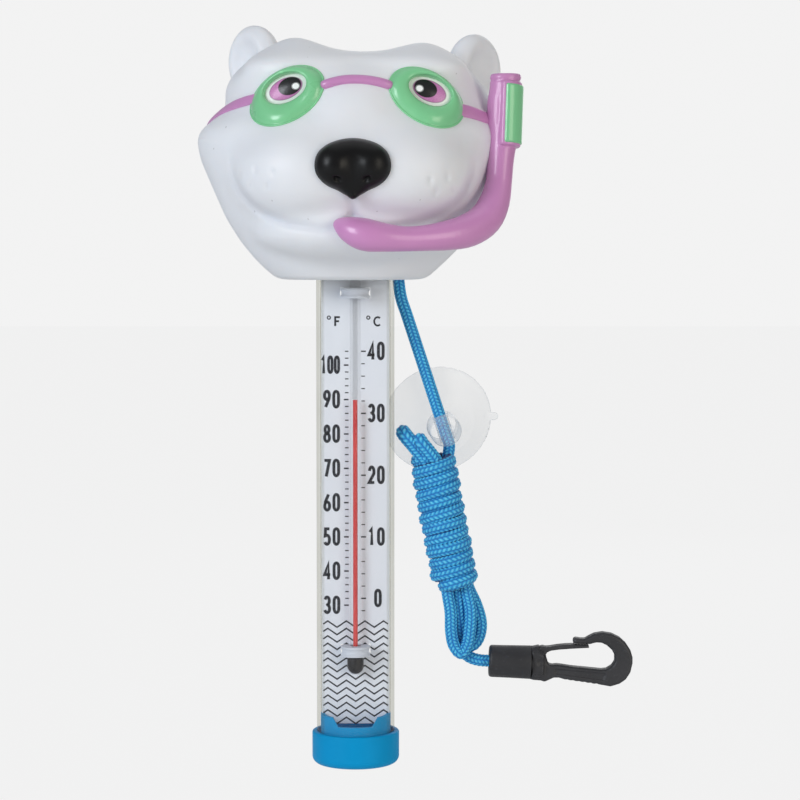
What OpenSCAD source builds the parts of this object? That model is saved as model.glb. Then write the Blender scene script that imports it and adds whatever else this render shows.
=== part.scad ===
// Floating pool thermometer with a bear-head float, tether, suction cup and snap hook.
// Millimetres, +Z up, the face looks along -Y. Left is -X, as seen from the front.
// The origin is on the tube's axis, in the plane of the cap's underside.

/* [Thermometer tube] */
// Outside diameter of the clear tube
tube_od = 25; // [24.6:0.1:25.4]
// Wall of the clear tube
tube_wall = 1.2; // [1.0:0.1:1.4]
// Height of the tube's top end
tube_top = 186; // [182:1:188]
// Width of the printed scale card
card_w = 21.8; // [20:0.2:22]
// Thickness of the printed scale card
card_t = 0.7; // [0.5:0.1:0.8]

/* [Bottom cap] */
// Outside diameter of the bottom cap
cap_od = 28; // [27.6:0.1:30]
// Height of the cap's outer rim
cap_h = 10.6; // [10.4:0.1:11]
// Height of the top of the cap's inner collar
collar_top = 16; // [15.5:0.5:17]
// Diameter of each water hole in the cap's floor
inlet_d = 3.2; // [2:0.2:4]

/* [Glass thermometer] */
// Outside diameter of the glass stem
stem_d = 3.4; // [3.2:0.1:3.8]
// Outside diameter of the glass bulb
bulb_d = 5.6; // [5.4:0.1:6]
// Diameter of the bore that holds the spirit column
bore_d = 1.5; // [1.2:0.1:1.6]
// Reading at rest, degrees Fahrenheit
reading_f = 90; // [80:1:100]

/* [Head] */
// Height of the head's flat underside
head_z = 156; // [155:0.5:157]
// Thickness of the moulded vinyl
skin = 2.4; // [2:0.1:2.8]
// Points round each section of the head
round_n = 56; // [40:4:64]

/* [Tether] */
// Diameter of the braided cord
cord_d = 3.7; // [3.4:0.1:3.8]
// Turns of cord wound round the hank
turns = 11; // [9:1:11]
// Diameter of the suction cup
cup_d = 36; // [32:1:38]
// Diameter of the cord hole through the cup's knob
cup_hole_d = 5.4; // [5.2:0.1:5.6]

/* [Snap hook] */
// Outside diameter of the hook's sliding barrel
barrel_d = 10.6; // [10:0.2:11]
// Length of the barrel
barrel_l = 14; // [13:0.5:14]
// Thickness of the flat hook
hook_t = 5; // [4:0.5:6]
// Radius of the inside of the bend
bend_r = 4.3; // [4:0.1:4.5]

/* [Hidden] */
$fn = 64;

overlap = 0.01;
// Gaps between neighbouring pieces
fine_gap = 0.02;
mid_gap = 0.03;
wide_gap = 0.05;

tube_r = tube_od / 2;
tube_inner_r = tube_r - tube_wall;
tube_bottom = 9.2;
neck_r = 19;
cord_r = cord_d / 2;
// Where the cord leaves the head, and the middle of the cup's knob
anchor = [13.4, 9, head_z - 2.2];
knob = [28.6, 11.8, 107.3];

// ---- shared helpers ----
// Moves what follows from +Z onto the line between two points, beginning at the first
module along(from, to) {
    line = to - from;
    translate(from) rotate([0, acos(line[2] / norm(line)), atan2(line[1], line[0])]) children();
}
// A round rod between two points
module rod(from, to, r, sides) { along(from, to) cylinder(r = r, h = norm(to - from), $fn = sides); }
// A blended tube through a list of [x, y, z, radius] points
module blended(path, sides = 20) {
    for (i = [0:len(path) - 2]) hull() for (k = [i, i + 1])
        translate([path[k][0], path[k][1], path[k][2]]) sphere(r = path[k][3], $fn = sides);
}
// Gives each [x, y, z] point the same radius
function with_radius(points, r) = [for (p = points) [p[0], p[1], p[2], r]];
// Keeps a blended body as one smooth mesh
module one_mesh() { resize([0, 0, 0]) children(); }

// ---- head: heights in this section and the next are above its underside ----
function on_head(point) = point + [0, 0, head_z];
// Height, half width, front reach, back reach
head_rows = [
    [0, 24.2, 22.5, 22], [2, 27, 25.8, 24.5], [6, 31.3, 30.4, 28], [12, 36.2, 35.4, 31.5],
    [19, 40.6, 39.6, 34.5], [26, 44.4, 42.2, 36.5], [32, 47.3, 43.2, 37.6], [38, 49.3, 43, 38.2],
    [44, 49.9, 41.8, 38.4], [50, 48, 39.4, 38.2], [56, 44.6, 36.2, 37.2], [62, 40.4, 32.2, 35],
    [67, 36, 27.6, 31.6], [70.4, 29.6, 22, 27], [72.2, 20, 14.6, 19], [72.9, 8, 6, 8]];
// Exponent of the rounded-square sections; 2 would give ellipses
squareness = 2.25;
function signed_pow(value, power) = sign(value) * pow(abs(value), power);
// One section of the head, grown outward
function head_ring(row, grow) = [
    for (i = [0:round_n - 1])
        let (angle = 360 * i / round_n, reach = sin(angle) < 0 ? row[2] : row[3])
            [(row[1] + grow) * signed_pow(cos(angle), 2 / squareness),
             (reach + grow) * signed_pow(sin(angle), 2 / squareness),
             row[0] + head_z]];
// The head's outer skin as a solid, with its bottom section moved by bottom_shift
module head_solid(grow, bottom_shift) {
    n = round_n;
    last = len(head_rows) - 1;
    points = [for (k = [0:last]) for (p = head_ring(head_rows[k], grow))
        [p[0], p[1], p[2] + (k == 0 ? bottom_shift : 0)]];
    faces = concat(
        [[for (i = [0:n - 1]) i]],
        [for (k = [0:last - 1]) for (i = [0:n - 1])
            [k * n + i, (k + 1) * n + i, (k + 1) * n + (i + 1) % n]],
        [for (k = [0:last - 1]) for (i = [0:n - 1])
            [k * n + i, (k + 1) * n + (i + 1) % n, k * n + (i + 1) % n]],
        [[for (i = [0:n - 1]) last * n + n - 1 - i]]);
    polyhedron(points = points, faces = faces, convexity = 4);
}
// An ellipsoid on the head, given its centre and its three radii
module ball(centre, radii, grow = 0, sides = 36) {
    translate(on_head(centre)) scale(radii + grow * [1, 1, 1]) sphere(r = 1, $fn = sides);
}
// The whole head without its ears: skull and jaw, muzzle, and brows
module head_form(grow, bottom_shift = 0) {
    head_solid(grow, bottom_shift);
    hull() {
        for (side = [-1, 1]) ball([side * 13, -25.2, 33.5], [24.2, 23.2, 17.2], grow, 40);
        ball([0, -26.5, 50], [14, 14.6, 13], grow, 40);
    }
    for (side = [-1, 1]) ball([side * 17, -7, 62.4], [16, 22.5, 13.2], grow);
}
// The left ear stands higher and nearer the middle than the right one
module ear(side) {
    translate(on_head(side < 0 ? [-32.4, 10.5, 69.2] : [37.8, 10.5, 66.5]))
        rotate([0, side * 24, side * 40]) difference() {
            scale([1, 0.48, 1.12]) sphere(r = 11.2, $fn = 36);
            translate([side * 2.2, -6.4, 1.2]) scale([0.86, 0.6, 1]) sphere(r = 8, $fn = 28);
        }
}
module head_shell() color("white") one_mesh() difference() {
    union() {
        head_form(0);
        ear(-1);
        ear(1);
    }
    head_form(-skin, -1);
    translate([0, 0, head_z - 1]) cylinder(r = neck_r + mid_gap, h = 8, $fn = 96);
    for (side = [-1, 1]) eye_pocket(side);
}

// ---- face ----
// Places a child on an eye, facing -Y before it is turned
module at_eye(side) {
    translate(on_head([side * 21.6, -33.5, 57.5])) rotate([-14, 0, 0])
        rotate([0, 0, side * 27]) rotate([0, side * 19, 0]) children();
}
// An oval block that runs forward, along -Y
module oval(half_w, half_h, depth) {
    rotate([90, 0, 0]) scale([half_w, half_h, 1]) cylinder(r = 1, h = depth, $fn = 40);
}
module eye_block(grow = 0) { translate([0, 4, 2]) oval(6.9 + grow, 4.6 + grow, 8); }
module eye_pocket(side) { at_eye(side) eye_block(fine_gap); }
module eye(side) color("ivory") one_mesh() at_eye(side) intersection() {
    eye_block();
    translate([0, 5.2, 2]) scale([1, 0.9, 0.9]) sphere(r = 9.2, $fn = 40);
}
// A goggle's outside, wide at the head and narrow in front
module goggle_solid(side, grow = 0) {
    at_eye(side) hull() {
        translate([0, 7, -0.6]) oval(12.6 + grow, 8.4 + grow, 6);
        translate([0, -2.2, 1.9]) oval(8.2 + grow, 5.8 + grow, 1.6);
    }
}
module goggle(side) color("mediumaquamarine") one_mesh() difference() {
    goggle_solid(side);
    head_form(fine_gap);
    eye_pocket(side);
}
module goggle_room() { for (side = [-1, 1]) goggle_solid(side, wide_gap); }

// Lifts a list of [x, y, height, radius] points onto the head and grows it
function path_on_head(path, grow = 0) = [for (p = path) p + [0, 0, head_z, grow]];
// x, y, height, radius
bridge_path = [[-13.5, -33.6, 58.6, 1.5], [-7, -33.8, 60.8, 1.5], [0, -34, 61.6, 1.5],
    [7, -33.8, 60.8, 1.5], [13.5, -33.6, 58.6, 1.5]];
module goggle_bridge() color("orchid") one_mesh() difference() {
    blended(path_on_head(bridge_path));
    head_form(fine_gap);
    goggle_room();
}
strap_t = 1.1;
strap_w = 3.6;
module goggle_strap() color("orchid") one_mesh() difference() {
    intersection() {
        head_form(strap_t);
        translate(on_head([0, 0, 49.5])) rotate([-11, 0, 0])
            cube([120, 120, strap_w], center = true);
    }
    head_form(fine_gap);
    // leaves the face clear
    translate([-25, -70, head_z]) cube([50, 60, 90]);
    goggle_room();
    snorkel_run(mid_gap);
}
module nose() color("black") one_mesh() difference() {
    hull() {
        for (side = [-1, 1]) ball([side * 5, -44.6, 35], [6.5, 6.6, 6], sides = 32);
        ball([0, -44.8, 38], [6, 6, 4.9], sides = 32);
        ball([0, -46.8, 27.4], [2.2, 3.2, 2.2], sides = 24);
    }
    head_form(fine_gap);
    // nostrils
    for (side = [-1, 1]) translate(on_head([side * 4.2, -51.2, 31.4])) rotate([20, 0, 0])
        scale([1.5, 1, 0.9]) sphere(r = 1.2, $fn = 20);
}

// From the mouth round the right cheek: x, y, height, radius
snorkel_path = [[-5.6, -42.6, 17.4, 1.8], [0, -44.4, 15, 3.7], [10, -45, 12.8, 4.1],
    [24, -40.8, 13.2, 4.2], [34.5, -34, 15.6, 4.4], [42.6, -27.4, 21, 4.7],
    [46.6, -23.2, 30, 4.6]];
// The upright part of the snorkel
upright_bottom = on_head([46.6, -23.2, 30]);
upright_top = on_head([47.6, -19.6, 65.4]);
module snorkel_run(grow = 0) {
    blended(path_on_head(snorkel_path, grow));
    rod(upright_bottom, upright_top, 4.6 + grow, 32);
}
// A quarter of a sleeve round the upright
module snorkel_float_solid(grow = 0) {
    translate(on_head([47.6, -19.9, 44.6])) rotate([0, 1.5, 0]) rotate([0, 0, -70])
        intersection() {
            difference() {
                cylinder(r = 5.4 + grow, h = 18, $fn = 40);
                translate([0, 0, -1]) cylinder(r = 4.2 - grow, h = 20, $fn = 40);
            }
            translate([0, -10, -1]) cube([10, 20, 20]);
        }
}
module snorkel_tube() color("orchid") one_mesh() difference() {
    snorkel_run();
    head_form(fine_gap);
    snorkel_float_solid(mid_gap);
    // open top end
    rod(on_head([47.5, -20, 60]), on_head([47.6, -19.6, 66]), 3.2, 24);
}
module snorkel_float() color("mediumaquamarine") one_mesh() difference() {
    snorkel_float_solid();
    head_form(fine_gap);
}

// ---- neck and tube ----
flange_h = 4;
plug_depth = 6;
card_bottom = 12.6;
stem_y = -3.05;
grommet_r = 4.75;
grommet_h = 3.2;
low_grommet_z = 35.2;
high_grommet_z = 150;

module neck_plug() color("white") difference() {
    union() {
        translate([0, 0, head_z]) cylinder(r = neck_r, h = flange_h);
        translate([0, 0, head_z + flange_h - overlap]) cylinder(r = 13.9, h = 12);
    }
    translate([0, 0, head_z - 1]) cylinder(r = tube_r + mid_gap, h = 20);
    // cord hole, and room for the knot above it
    translate([anchor[0], anchor[1], head_z - 1]) cylinder(r = cord_r + 0.15, h = 6);
    translate([anchor[0], anchor[1], head_z + flange_h]) cylinder(r = 3.5, h = 14);
}
module clear_tube() color("lightcyan", 0.35) translate([0, 0, tube_bottom]) difference() {
    cylinder(r = tube_r, h = tube_top - tube_bottom);
    translate([0, 0, -1]) cylinder(r = tube_inner_r, h = tube_top);
}
module tube_top_plug() color("white") {
    translate([0, 0, tube_top]) cylinder(r = tube_r, h = 2);
    translate([0, 0, tube_top - plug_depth]) difference() {
        cylinder(r = tube_inner_r - fine_gap, h = plug_depth + overlap);
        translate([0, 0, -1]) cylinder(r = 9.4, h = 5.5);
    }
}
module scale_card() color("white") difference() {
    translate([-card_w / 2, 0, card_bottom])
        cube([card_w, card_t, tube_top - plug_depth - 0.3 - card_bottom]);
    // windows for the grommets
    for (z = [low_grommet_z, high_grommet_z])
        translate([-grommet_r - wide_gap, -1, z - wide_gap])
            cube([2 * (grommet_r + wide_gap), 3, grommet_h + 2 * wide_gap]);
}

// ---- glass and spirit ----
stem_r = stem_d / 2;
bulb_r = bulb_d / 2;
bulb_bottom = 29;
bulb_shoulder = 34.2;
stem_bottom = 35.15;
stem_l = 119.4;
// The hollow in the bulb, and the height where the bore begins
room_r = 2.1;
room_z = 29.7 + room_r;
room_straight = 2;
bore_bottom = 35;
bore_top = 152;
bulb_spirit_top = 38.4;
spirit_r = bore_d / 2 - fine_gap;
meniscus_h = 1.2;
// Height of a Fahrenheit reading on the scale
function reading_z(degrees_f) = 51.5 + (degrees_f - 30) * 1.1;
meniscus_z = reading_z(reading_f) - meniscus_h;

// Keeps the half of a profile on the +X side of the axis
module half() {
    intersection() {
        children();
        translate([0, -1]) square([40, 400]);
    }
}
// Profile of the hollow inside the glass up to a height, drawn in by a gap
module spirit_room(top, gap = 0) {
    wide_r = room_r - gap;
    narrow_r = bore_d / 2 - gap;
    shoulder = room_z + room_straight;
    neck = bore_bottom - gap;
    translate([0, room_z]) circle(r = wide_r);
    translate([0, room_z]) square([wide_r, room_straight]);
    polygon([[0, shoulder], [wide_r, shoulder], [narrow_r, neck], [0, neck]]);
    translate([0, neck]) square([narrow_r, top - neck]);
}
module glass_stem() color("aliceblue", 0.35) translate([0, stem_y, 0])
    rotate_extrude() half() difference() {
        union() {
            translate([0, bulb_bottom + bulb_r]) circle(r = bulb_r);
            translate([0, bulb_bottom + bulb_r])
                square([bulb_r, bulb_shoulder - bulb_bottom - bulb_r]);
            polygon([[0, bulb_shoulder], [bulb_r, bulb_shoulder],
                [stem_r, stem_bottom], [0, stem_bottom]]);
            translate([0, stem_bottom]) square([stem_r, stem_l]);
            translate([0, stem_bottom + stem_l]) circle(r = stem_r);
        }
        spirit_room(bore_top);
    }
module bulb_spirit() color("maroon") translate([0, stem_y, 0])
    rotate_extrude() half() spirit_room(bulb_spirit_top, fine_gap);
module spirit_column() color("red") translate([0, stem_y, bulb_spirit_top])
    cylinder(r = spirit_r, h = meniscus_z - bulb_spirit_top);
module spirit_meniscus() color("red") translate([0, stem_y, meniscus_z])
    cylinder(r = spirit_r, h = meniscus_h);
// A ring round the stem, grooved round its rim
module grommet(z) color("whitesmoke") translate([0, stem_y, z]) rotate_extrude() difference() {
    translate([stem_r + fine_gap, 0]) square([grommet_r - stem_r - fine_gap, grommet_h]);
    translate([grommet_r + 0.9, grommet_h / 2]) circle(r = 1.3);
}

// ---- bottom cap ----
cap_r = cap_od / 2;
foot_round = 2.5;
lip_round = 0.6;
cap_floor = 2.5;
collar_r = tube_inner_r - wide_gap;
inlets = 5;
inlet_ring_r = 5.6;
module cap_profile() {
    square([cap_r - foot_round, cap_h]);
    translate([0, foot_round]) square([cap_r, cap_h - foot_round - lip_round]);
    translate([cap_r - foot_round, foot_round]) circle(r = foot_round);
    translate([cap_r - lip_round, cap_h - lip_round]) circle(r = lip_round);
    translate([cap_r - 3, cap_h - 3]) square([3 - lip_round, 3]);
}
module bottom_cap() color("deepskyblue") difference() {
    union() {
        rotate_extrude() cap_profile();
        translate([0, 0, 2]) cylinder(r = collar_r, h = collar_top - 2);
    }
    translate([0, 0, cap_floor]) cylinder(r = tube_inner_r - 1.4, h = 20);
    // seat for the end of the tube
    translate([0, 0, tube_bottom - fine_gap]) difference() {
        cylinder(r = tube_r + 0.04, h = 10);
        translate([0, 0, -1]) cylinder(r = collar_r, h = 12);
    }
    // front and back notches, flared upward
    rotate([90, 0, 0]) linear_extrude(60, center = true)
        polygon([[-5.4, 13.2], [5.4, 13.2], [8, 17.5], [-8, 17.5]]);
    // slots for the scale card
    translate([-15, -wide_gap, card_bottom - 0.1]) cube([30, card_t + 2 * wide_gap, 10]);
    for (i = [0:inlets - 1]) rotate([0, 0, 90 + 360 / inlets * i])
        translate([inlet_ring_r, 0, -1]) cylinder(d = inlet_d, h = 6);
}

// ---- tether ----
lead_end = knob + 5.5 * (knob - anchor) / norm(knob - anchor);
module cord_knot() color("dodgerblue") {
    translate([anchor[0], anchor[1], head_z + 7.4]) sphere(r = 3.15);
    translate([anchor[0], anchor[1], head_z + 0.1]) cylinder(r = cord_r, h = 6);
}
module cord_lead() color("dodgerblue") one_mesh()
    blended(with_radius([anchor, (anchor + knob) / 2, knob, lead_end], cord_r));

// The suction cup: its knob points forward and its rim faces back along +Y
cup_r = cup_d / 2;
cup_depth = 10.6;
// Radius, distance back from the knob's middle
cup_outline = [[0, -4.6], [4.5, -4.6], [5.15, -3.9], [5.15, 4.2], [7.2, 5.6], [cup_r - 6, 7.7],
    [cup_r - 0.6, cup_depth - 0.8], [cup_r, cup_depth - 0.3], [cup_r, cup_depth], [0, cup_depth]];
// Radius, distance back from the rim
cup_hollow = [[0, 1], [0, -2.9], [5, -2.7], [cup_r - 5, -1.4], [cup_r - 1.2, 0], [cup_r - 1.2, 1]];
module suction_cup() color("azure", 0.5) difference() {
    translate(knob) rotate([12.7, 0, 10.7]) rotate([-90, 0, 0]) rotate_extrude() difference() {
        polygon(cup_outline);
        translate([0, cup_depth]) polygon(cup_hollow);
    }
    rod(knob + (anchor - knob) / 4, knob + (knob - anchor) / 6, cup_hole_d / 2, 48);
}

// Ends of the hank's axis
hank_top = [24.5, 8.8, 99];
hank_bottom = [32.4, 8.8, 56.2];
hank_l = norm(hank_top - hank_bottom);
wrap_r = 2;
wrap_inner_r = 3.7;
module cord_wraps() color("dodgerblue") along(hank_bottom, hank_top) rotate_extrude() difference() {
    union() {
        for (i = [0:turns - 1])
            translate([5.4, wrap_r + i * (hank_l - 2 * wrap_r) / (turns - 1)])
                circle(r = wrap_r, $fn = 32);
        translate([wrap_inner_r, 1]) square([1.9, hank_l - 2]);
    }
    translate([0, -1]) square([wrap_inner_r, 100]);
}
// The strands that leave the hank, each a list of [x, y, z] points.
// The way in and the way out stop just short of the lead and the tail, so that both can bend.
hank_strands = [
    // bights above
    [[25.4, 8.4, 91], [23.2, 7.6, 96.6], [19.6, 7.2, 101.4], [15.7, 7.2, 106]],
    [[27.4, 8.4, 91], [26, 7.6, 97], [23.4, 7.2, 101.2], [21.3, 7.2, 104]],
    // way in
    [lead_end + [-0.56, -0.6, -3.9], [28, 9.6, 92]],
    // loops below
    [[30.4, 6.4, 60], [30.2, 5.8, 52], [31, 5.6, 42], [32.2, 5.6, 37.4], [34.2, 5.8, 35.2],
        [36.2, 6.2, 38.2], [37, 6.4, 46], [35.6, 7, 60]],
    [[34.6, 10, 60], [38.6, 9.6, 50], [40.6, 9.4, 45], [40.6, 9.4, 41.4], [39, 9.4, 38.2],
        [37.04, 9.52, 37.16], [34.8, 9.6, 40], [33.4, 10, 50], [33.4, 10, 60]],
    // way out
    [[30.8, 10.6, 60], [31.4, 11, 50], [31.9, 10.9, 40], [34.1, 10, 35.8]]];
module cord_hank() color("dodgerblue") one_mesh() union() {
    along(hank_bottom + [-0.5, 0, 3], hank_top + [0.3, 0, -2])
        cylinder(r = 3.6, h = hank_l - 5, $fn = 24);
    for (points = hank_strands) blended(with_radius(points, cord_r + 0.05), 16);
}

// Start of the hook's own X axis, which tips down by hook_tilt
bar_start = [43.25, 9, 31.5];
hook_tilt = 2;
bar_dir = [cos(hook_tilt), 0, -sin(hook_tilt)];
tail_start = [37, 9, 32.6];
module cord_tail() color("dodgerblue") one_mesh() blended(with_radius(
    concat([tail_start], [for (x = [0.5, 6, 11]) bar_start + x * bar_dir]), cord_r));

// ---- snap hook, drawn along its own X with Z across and Y through its thickness ----
barrel_r = barrel_d / 2;
barrel_bore_r = 4.05;
rear_round = 1.2;
front_round = 0.4;
crimp_x = 6.2;
bend_centre = [36.4, 3.1];
pivot = [17.4, 4.1];
pivot_r = 1.5;
gate_t = hook_t - 0.6;
// Outlines as x, z
shank_outline = [[17, -5.2], [21.5, -4.3], [39, -6.75], [39, 2], [30, 0], [19.3, -0.45], [17, 2]];
tip_outline = [[27, 6.4], [27, 8.1], [27.6, 8.4], [31.2, 8.3], [35, 8], [35, 6.4]];
opening_outline = [[19.3, -0.45], [bend_centre[0], -1.2], [bend_centre[0] + 0.5, 3],
    [34, 6.35], [26, 6.35], [18.9, 6.3], [18.3, 3.2]];
under_tip_outline = [[26, 6.35], [26, 4.2], [34, 4.2], [33.2, 6.35]];
gate_outline = [[17.4, 5.1], [18.6, 5.5], [20, 5.75], [27, 6.2], [32.2, 6.25], [32.2, 5.3],
    [27, 5.0], [21.6, 4.3], [18.4, 3.5], [17.4, 3.5]];

module at_bar() { translate(bar_start) rotate([0, hook_tilt, 0]) children(); }
// Turns what follows from +Z to the hook's X, starting at x
module on_bar(x) { translate([x, 0, 0]) rotate([0, 90, 0]) children(); }

module hook_barrel() color("dimgray") at_bar() on_bar(0) rotate_extrude() difference() {
    union() {
        translate([0, rear_round]) square([barrel_r, barrel_l - rear_round - front_round]);
        square([barrel_r - rear_round, barrel_l]);
        translate([barrel_r - rear_round, rear_round]) circle(r = rear_round);
        translate([barrel_r - front_round, barrel_l - front_round]) circle(r = front_round);
        translate([barrel_r - 1.3, rear_round]) square([0.9, barrel_l - rear_round]);
    }
    translate([0, -1]) square([cord_r + 0.35, 5]);
    translate([0, 2.6]) square([barrel_bore_r, 20]);
}
// A sleeve on the cord with three grooves
module cord_crimp() color("silver") at_bar() on_bar(crimp_x) rotate_extrude() difference() {
    translate([cord_r + fine_gap, 0]) square([0.7, 4.6]);
    for (i = [0:2]) translate([cord_r + 1.12, 0.9 + i * 1.4]) circle(r = 0.55);
}
module hook_outline() {
    difference() {
        union() {
            translate([37.75, 2.05]) circle(r = 8.85);
            polygon(shank_outline);
            polygon(tip_outline);
        }
        translate(bend_centre) circle(r = bend_r);
        polygon(opening_outline);
        polygon(under_tip_outline);
        // notches along the underside
        for (i = [0:5]) translate([23.6 + i * 1.9, -5.45 - i * 0.28]) circle(r = 0.62, $fn = 24);
    }
}
module hook_body() color("dimgray") at_bar() difference() {
    union() {
        rotate([90, 0, 0]) linear_extrude(hook_t, center = true) hook_outline();
        // collar in front of the barrel
        intersection() {
            on_bar(14.1) cylinder(r = barrel_r, h = 4.6);
            translate([14, -4, -10]) cube([5, 8, 20]);
        }
        on_bar(crimp_x) cylinder(r = barrel_bore_r - 0.1, h = 8);
    }
    // socket for the cord and its crimp
    on_bar(5) cylinder(r = cord_r + 0.76, h = 8.2);
    // seat for the gate's pivot
    translate([pivot[0], 0, pivot[1]]) rotate([90, 0, 0])
        cylinder(r = pivot_r + wide_gap, h = 20, center = true, $fn = 48);
    translate([pivot[0], -10, pivot[1] - 1]) cube([4, 20, 6]);
}
module hook_gate() color("dimgray") at_bar() rotate([90, 0, 0]) union() {
    translate([pivot[0], pivot[1], -gate_t / 2]) cylinder(r = pivot_r, h = gate_t, $fn = 48);
    linear_extrude(gate_t, center = true) polygon(gate_outline);
}

head_shell();
goggle(-1);  // goggle_left
goggle(1);  // goggle_right
goggle_bridge();
goggle_strap();
eye(-1);  // eye_left
eye(1);  // eye_right
nose();
snorkel_tube();
snorkel_float();
neck_plug();
clear_tube();
tube_top_plug();
scale_card();
glass_stem();
bulb_spirit();
spirit_column();
spirit_meniscus();
grommet(high_grommet_z);  // grommet_upper
grommet(low_grommet_z);  // grommet_lower
bottom_cap();
cord_knot();
cord_lead();
suction_cup();
cord_hank();
cord_wraps();
cord_tail();
hook_body();
hook_gate();
hook_barrel();
cord_crimp();
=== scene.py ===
"""A floating thermometer: a clear tube with a printed scale under a white bear's head with
goggles and a snorkel, tied by a braided cord to a suction cup and a snap hook.

+Z is up and the face looks along -Y. Left (x < 0) and right (x > 0) are as seen from the front.
"""
import math
from functools import reduce

import bmesh
import bpy
import numpy as np
from mathutils import Matrix, Vector


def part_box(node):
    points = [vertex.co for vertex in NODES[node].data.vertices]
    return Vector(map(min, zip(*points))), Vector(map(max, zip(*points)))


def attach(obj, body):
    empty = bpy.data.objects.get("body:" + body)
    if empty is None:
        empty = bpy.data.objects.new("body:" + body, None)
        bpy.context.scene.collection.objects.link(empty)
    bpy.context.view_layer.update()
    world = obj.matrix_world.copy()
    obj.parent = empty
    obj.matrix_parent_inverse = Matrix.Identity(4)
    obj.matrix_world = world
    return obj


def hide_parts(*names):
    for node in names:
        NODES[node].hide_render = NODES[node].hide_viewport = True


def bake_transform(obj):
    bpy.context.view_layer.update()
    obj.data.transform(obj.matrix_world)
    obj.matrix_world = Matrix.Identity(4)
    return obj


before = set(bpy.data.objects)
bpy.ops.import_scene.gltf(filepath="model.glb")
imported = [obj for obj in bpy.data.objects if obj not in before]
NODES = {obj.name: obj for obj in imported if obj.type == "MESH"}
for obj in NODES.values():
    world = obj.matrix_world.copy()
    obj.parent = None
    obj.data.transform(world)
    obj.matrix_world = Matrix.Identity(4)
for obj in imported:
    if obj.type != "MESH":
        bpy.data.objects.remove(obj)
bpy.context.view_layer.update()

MM = 0.001
SIDES = {-1: "left", 1: "right"}
BACKWARD = (0, 1, 0)
scene = bpy.context.scene


# ---------------------------------------------------------------- vectors and soft steps
def vec(*parts):
    return np.array(parts, float)


def unit(rows):
    rows = np.asarray(rows, float)
    return rows / np.maximum(np.linalg.norm(rows, axis=-1, keepdims=True), 1e-12)


def ease(start, stop, value):
    """0 at start, 1 at stop, smooth between."""
    t = np.clip((value - start) / (stop - start), 0, 1)
    return t * t * (3 - 2 * t)


def bell(distance, width):
    return np.exp(-((distance / width) ** 2))


# ---------------------------------------------------------------- forms
# A form takes at = (x, y, z) and gives a signed distance, negative inside the solid.
def join(a, b, soft):
    t = np.clip(0.5 + 0.5 * (b - a) / soft, 0, 1)
    return b * (1 - t) + a * t - soft * t * (1 - t)


def meet(a, b, soft):
    return -join(-a, -b, soft)


def cut(form, tool, soft):
    return meet(form, -tool, soft)


def ellipsoid(at, centre, radii):
    scaled = [(v - c) / r for v, c, r in zip(at, centre, radii)]
    x, y, z = scaled
    reach = np.sqrt(x * x + y * y + z * z)
    x, y, z = (v / r for v, r in zip(scaled, radii))
    slope = np.sqrt(x ** 2 + y ** 2 + z ** 2)
    return reach * (reach - 1) / np.maximum(slope, 1e-6)


def rod(at, start, end, radius, end_radius=None):
    """A round-ended rod, tapering if it has an end radius."""
    end_radius = radius if end_radius is None else end_radius
    x, y, z = (v - s for v, s in zip(at, start))
    run = np.asarray(end, float) - np.asarray(start, float)
    t = np.clip((x * run[0] + y * run[1] + z * run[2]) / (run @ run), 0, 1)
    away = np.sqrt((x - t * run[0]) ** 2 + (y - t * run[1]) ** 2 + (z - t * run[2]) ** 2)
    return away - (radius + t * (end_radius - radius))


def rounded(gaps, radius):
    """The solid where every gap is below zero, with rounded edges."""
    gaps = np.stack(np.broadcast_arrays(*gaps)) + radius
    return np.sqrt((np.maximum(gaps, 0) ** 2).sum(0)) + np.minimum(gaps.max(0), 0) - radius


def line_distance(x, z, line):
    """Distance in the x, z plane to a broken line."""
    best = np.inf
    for (ax, az), (bx, bz) in zip(line[:-1], line[1:]):
        dx, dz = bx - ax, bz - az
        t = np.clip(((x - ax) * dx + (z - az) * dz) / (dx * dx + dz * dz), 0, 1)
        best = np.minimum(best, np.hypot(x - ax - t * dx, z - az - t * dz))
    return best


def outline_distance(x, z, outline):
    """Signed distance to a closed polygon, negative inside."""
    nearest = np.full(np.broadcast(x, z).shape, 1e9)
    inside = np.zeros(nearest.shape, bool)
    for (ax, az), (bx, bz) in zip(outline, np.roll(outline, -1, 0)):
        dx, dz = bx - ax, bz - az
        t = np.clip(((x - ax) * dx + (z - az) * dz) / (dx * dx + dz * dz + 1e-12), 0, 1)
        nearest = np.minimum(nearest, (x - ax - t * dx) ** 2 + (z - az - t * dz) ** 2)
        inside ^= ((az > z) != (bz > z)) & (x < (bx - ax) * (z - az) / (bz - az + 1e-12) + ax)
    return np.where(inside, -1, 1) * np.sqrt(nearest)


def value_and_slope(form, points, reach=0.08):
    rises = [form((points + reach * axis).T) - form((points - reach * axis).T)
             for axis in np.eye(3)]
    return form(points.T), np.stack(rises, 1) / (2 * reach)


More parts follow.
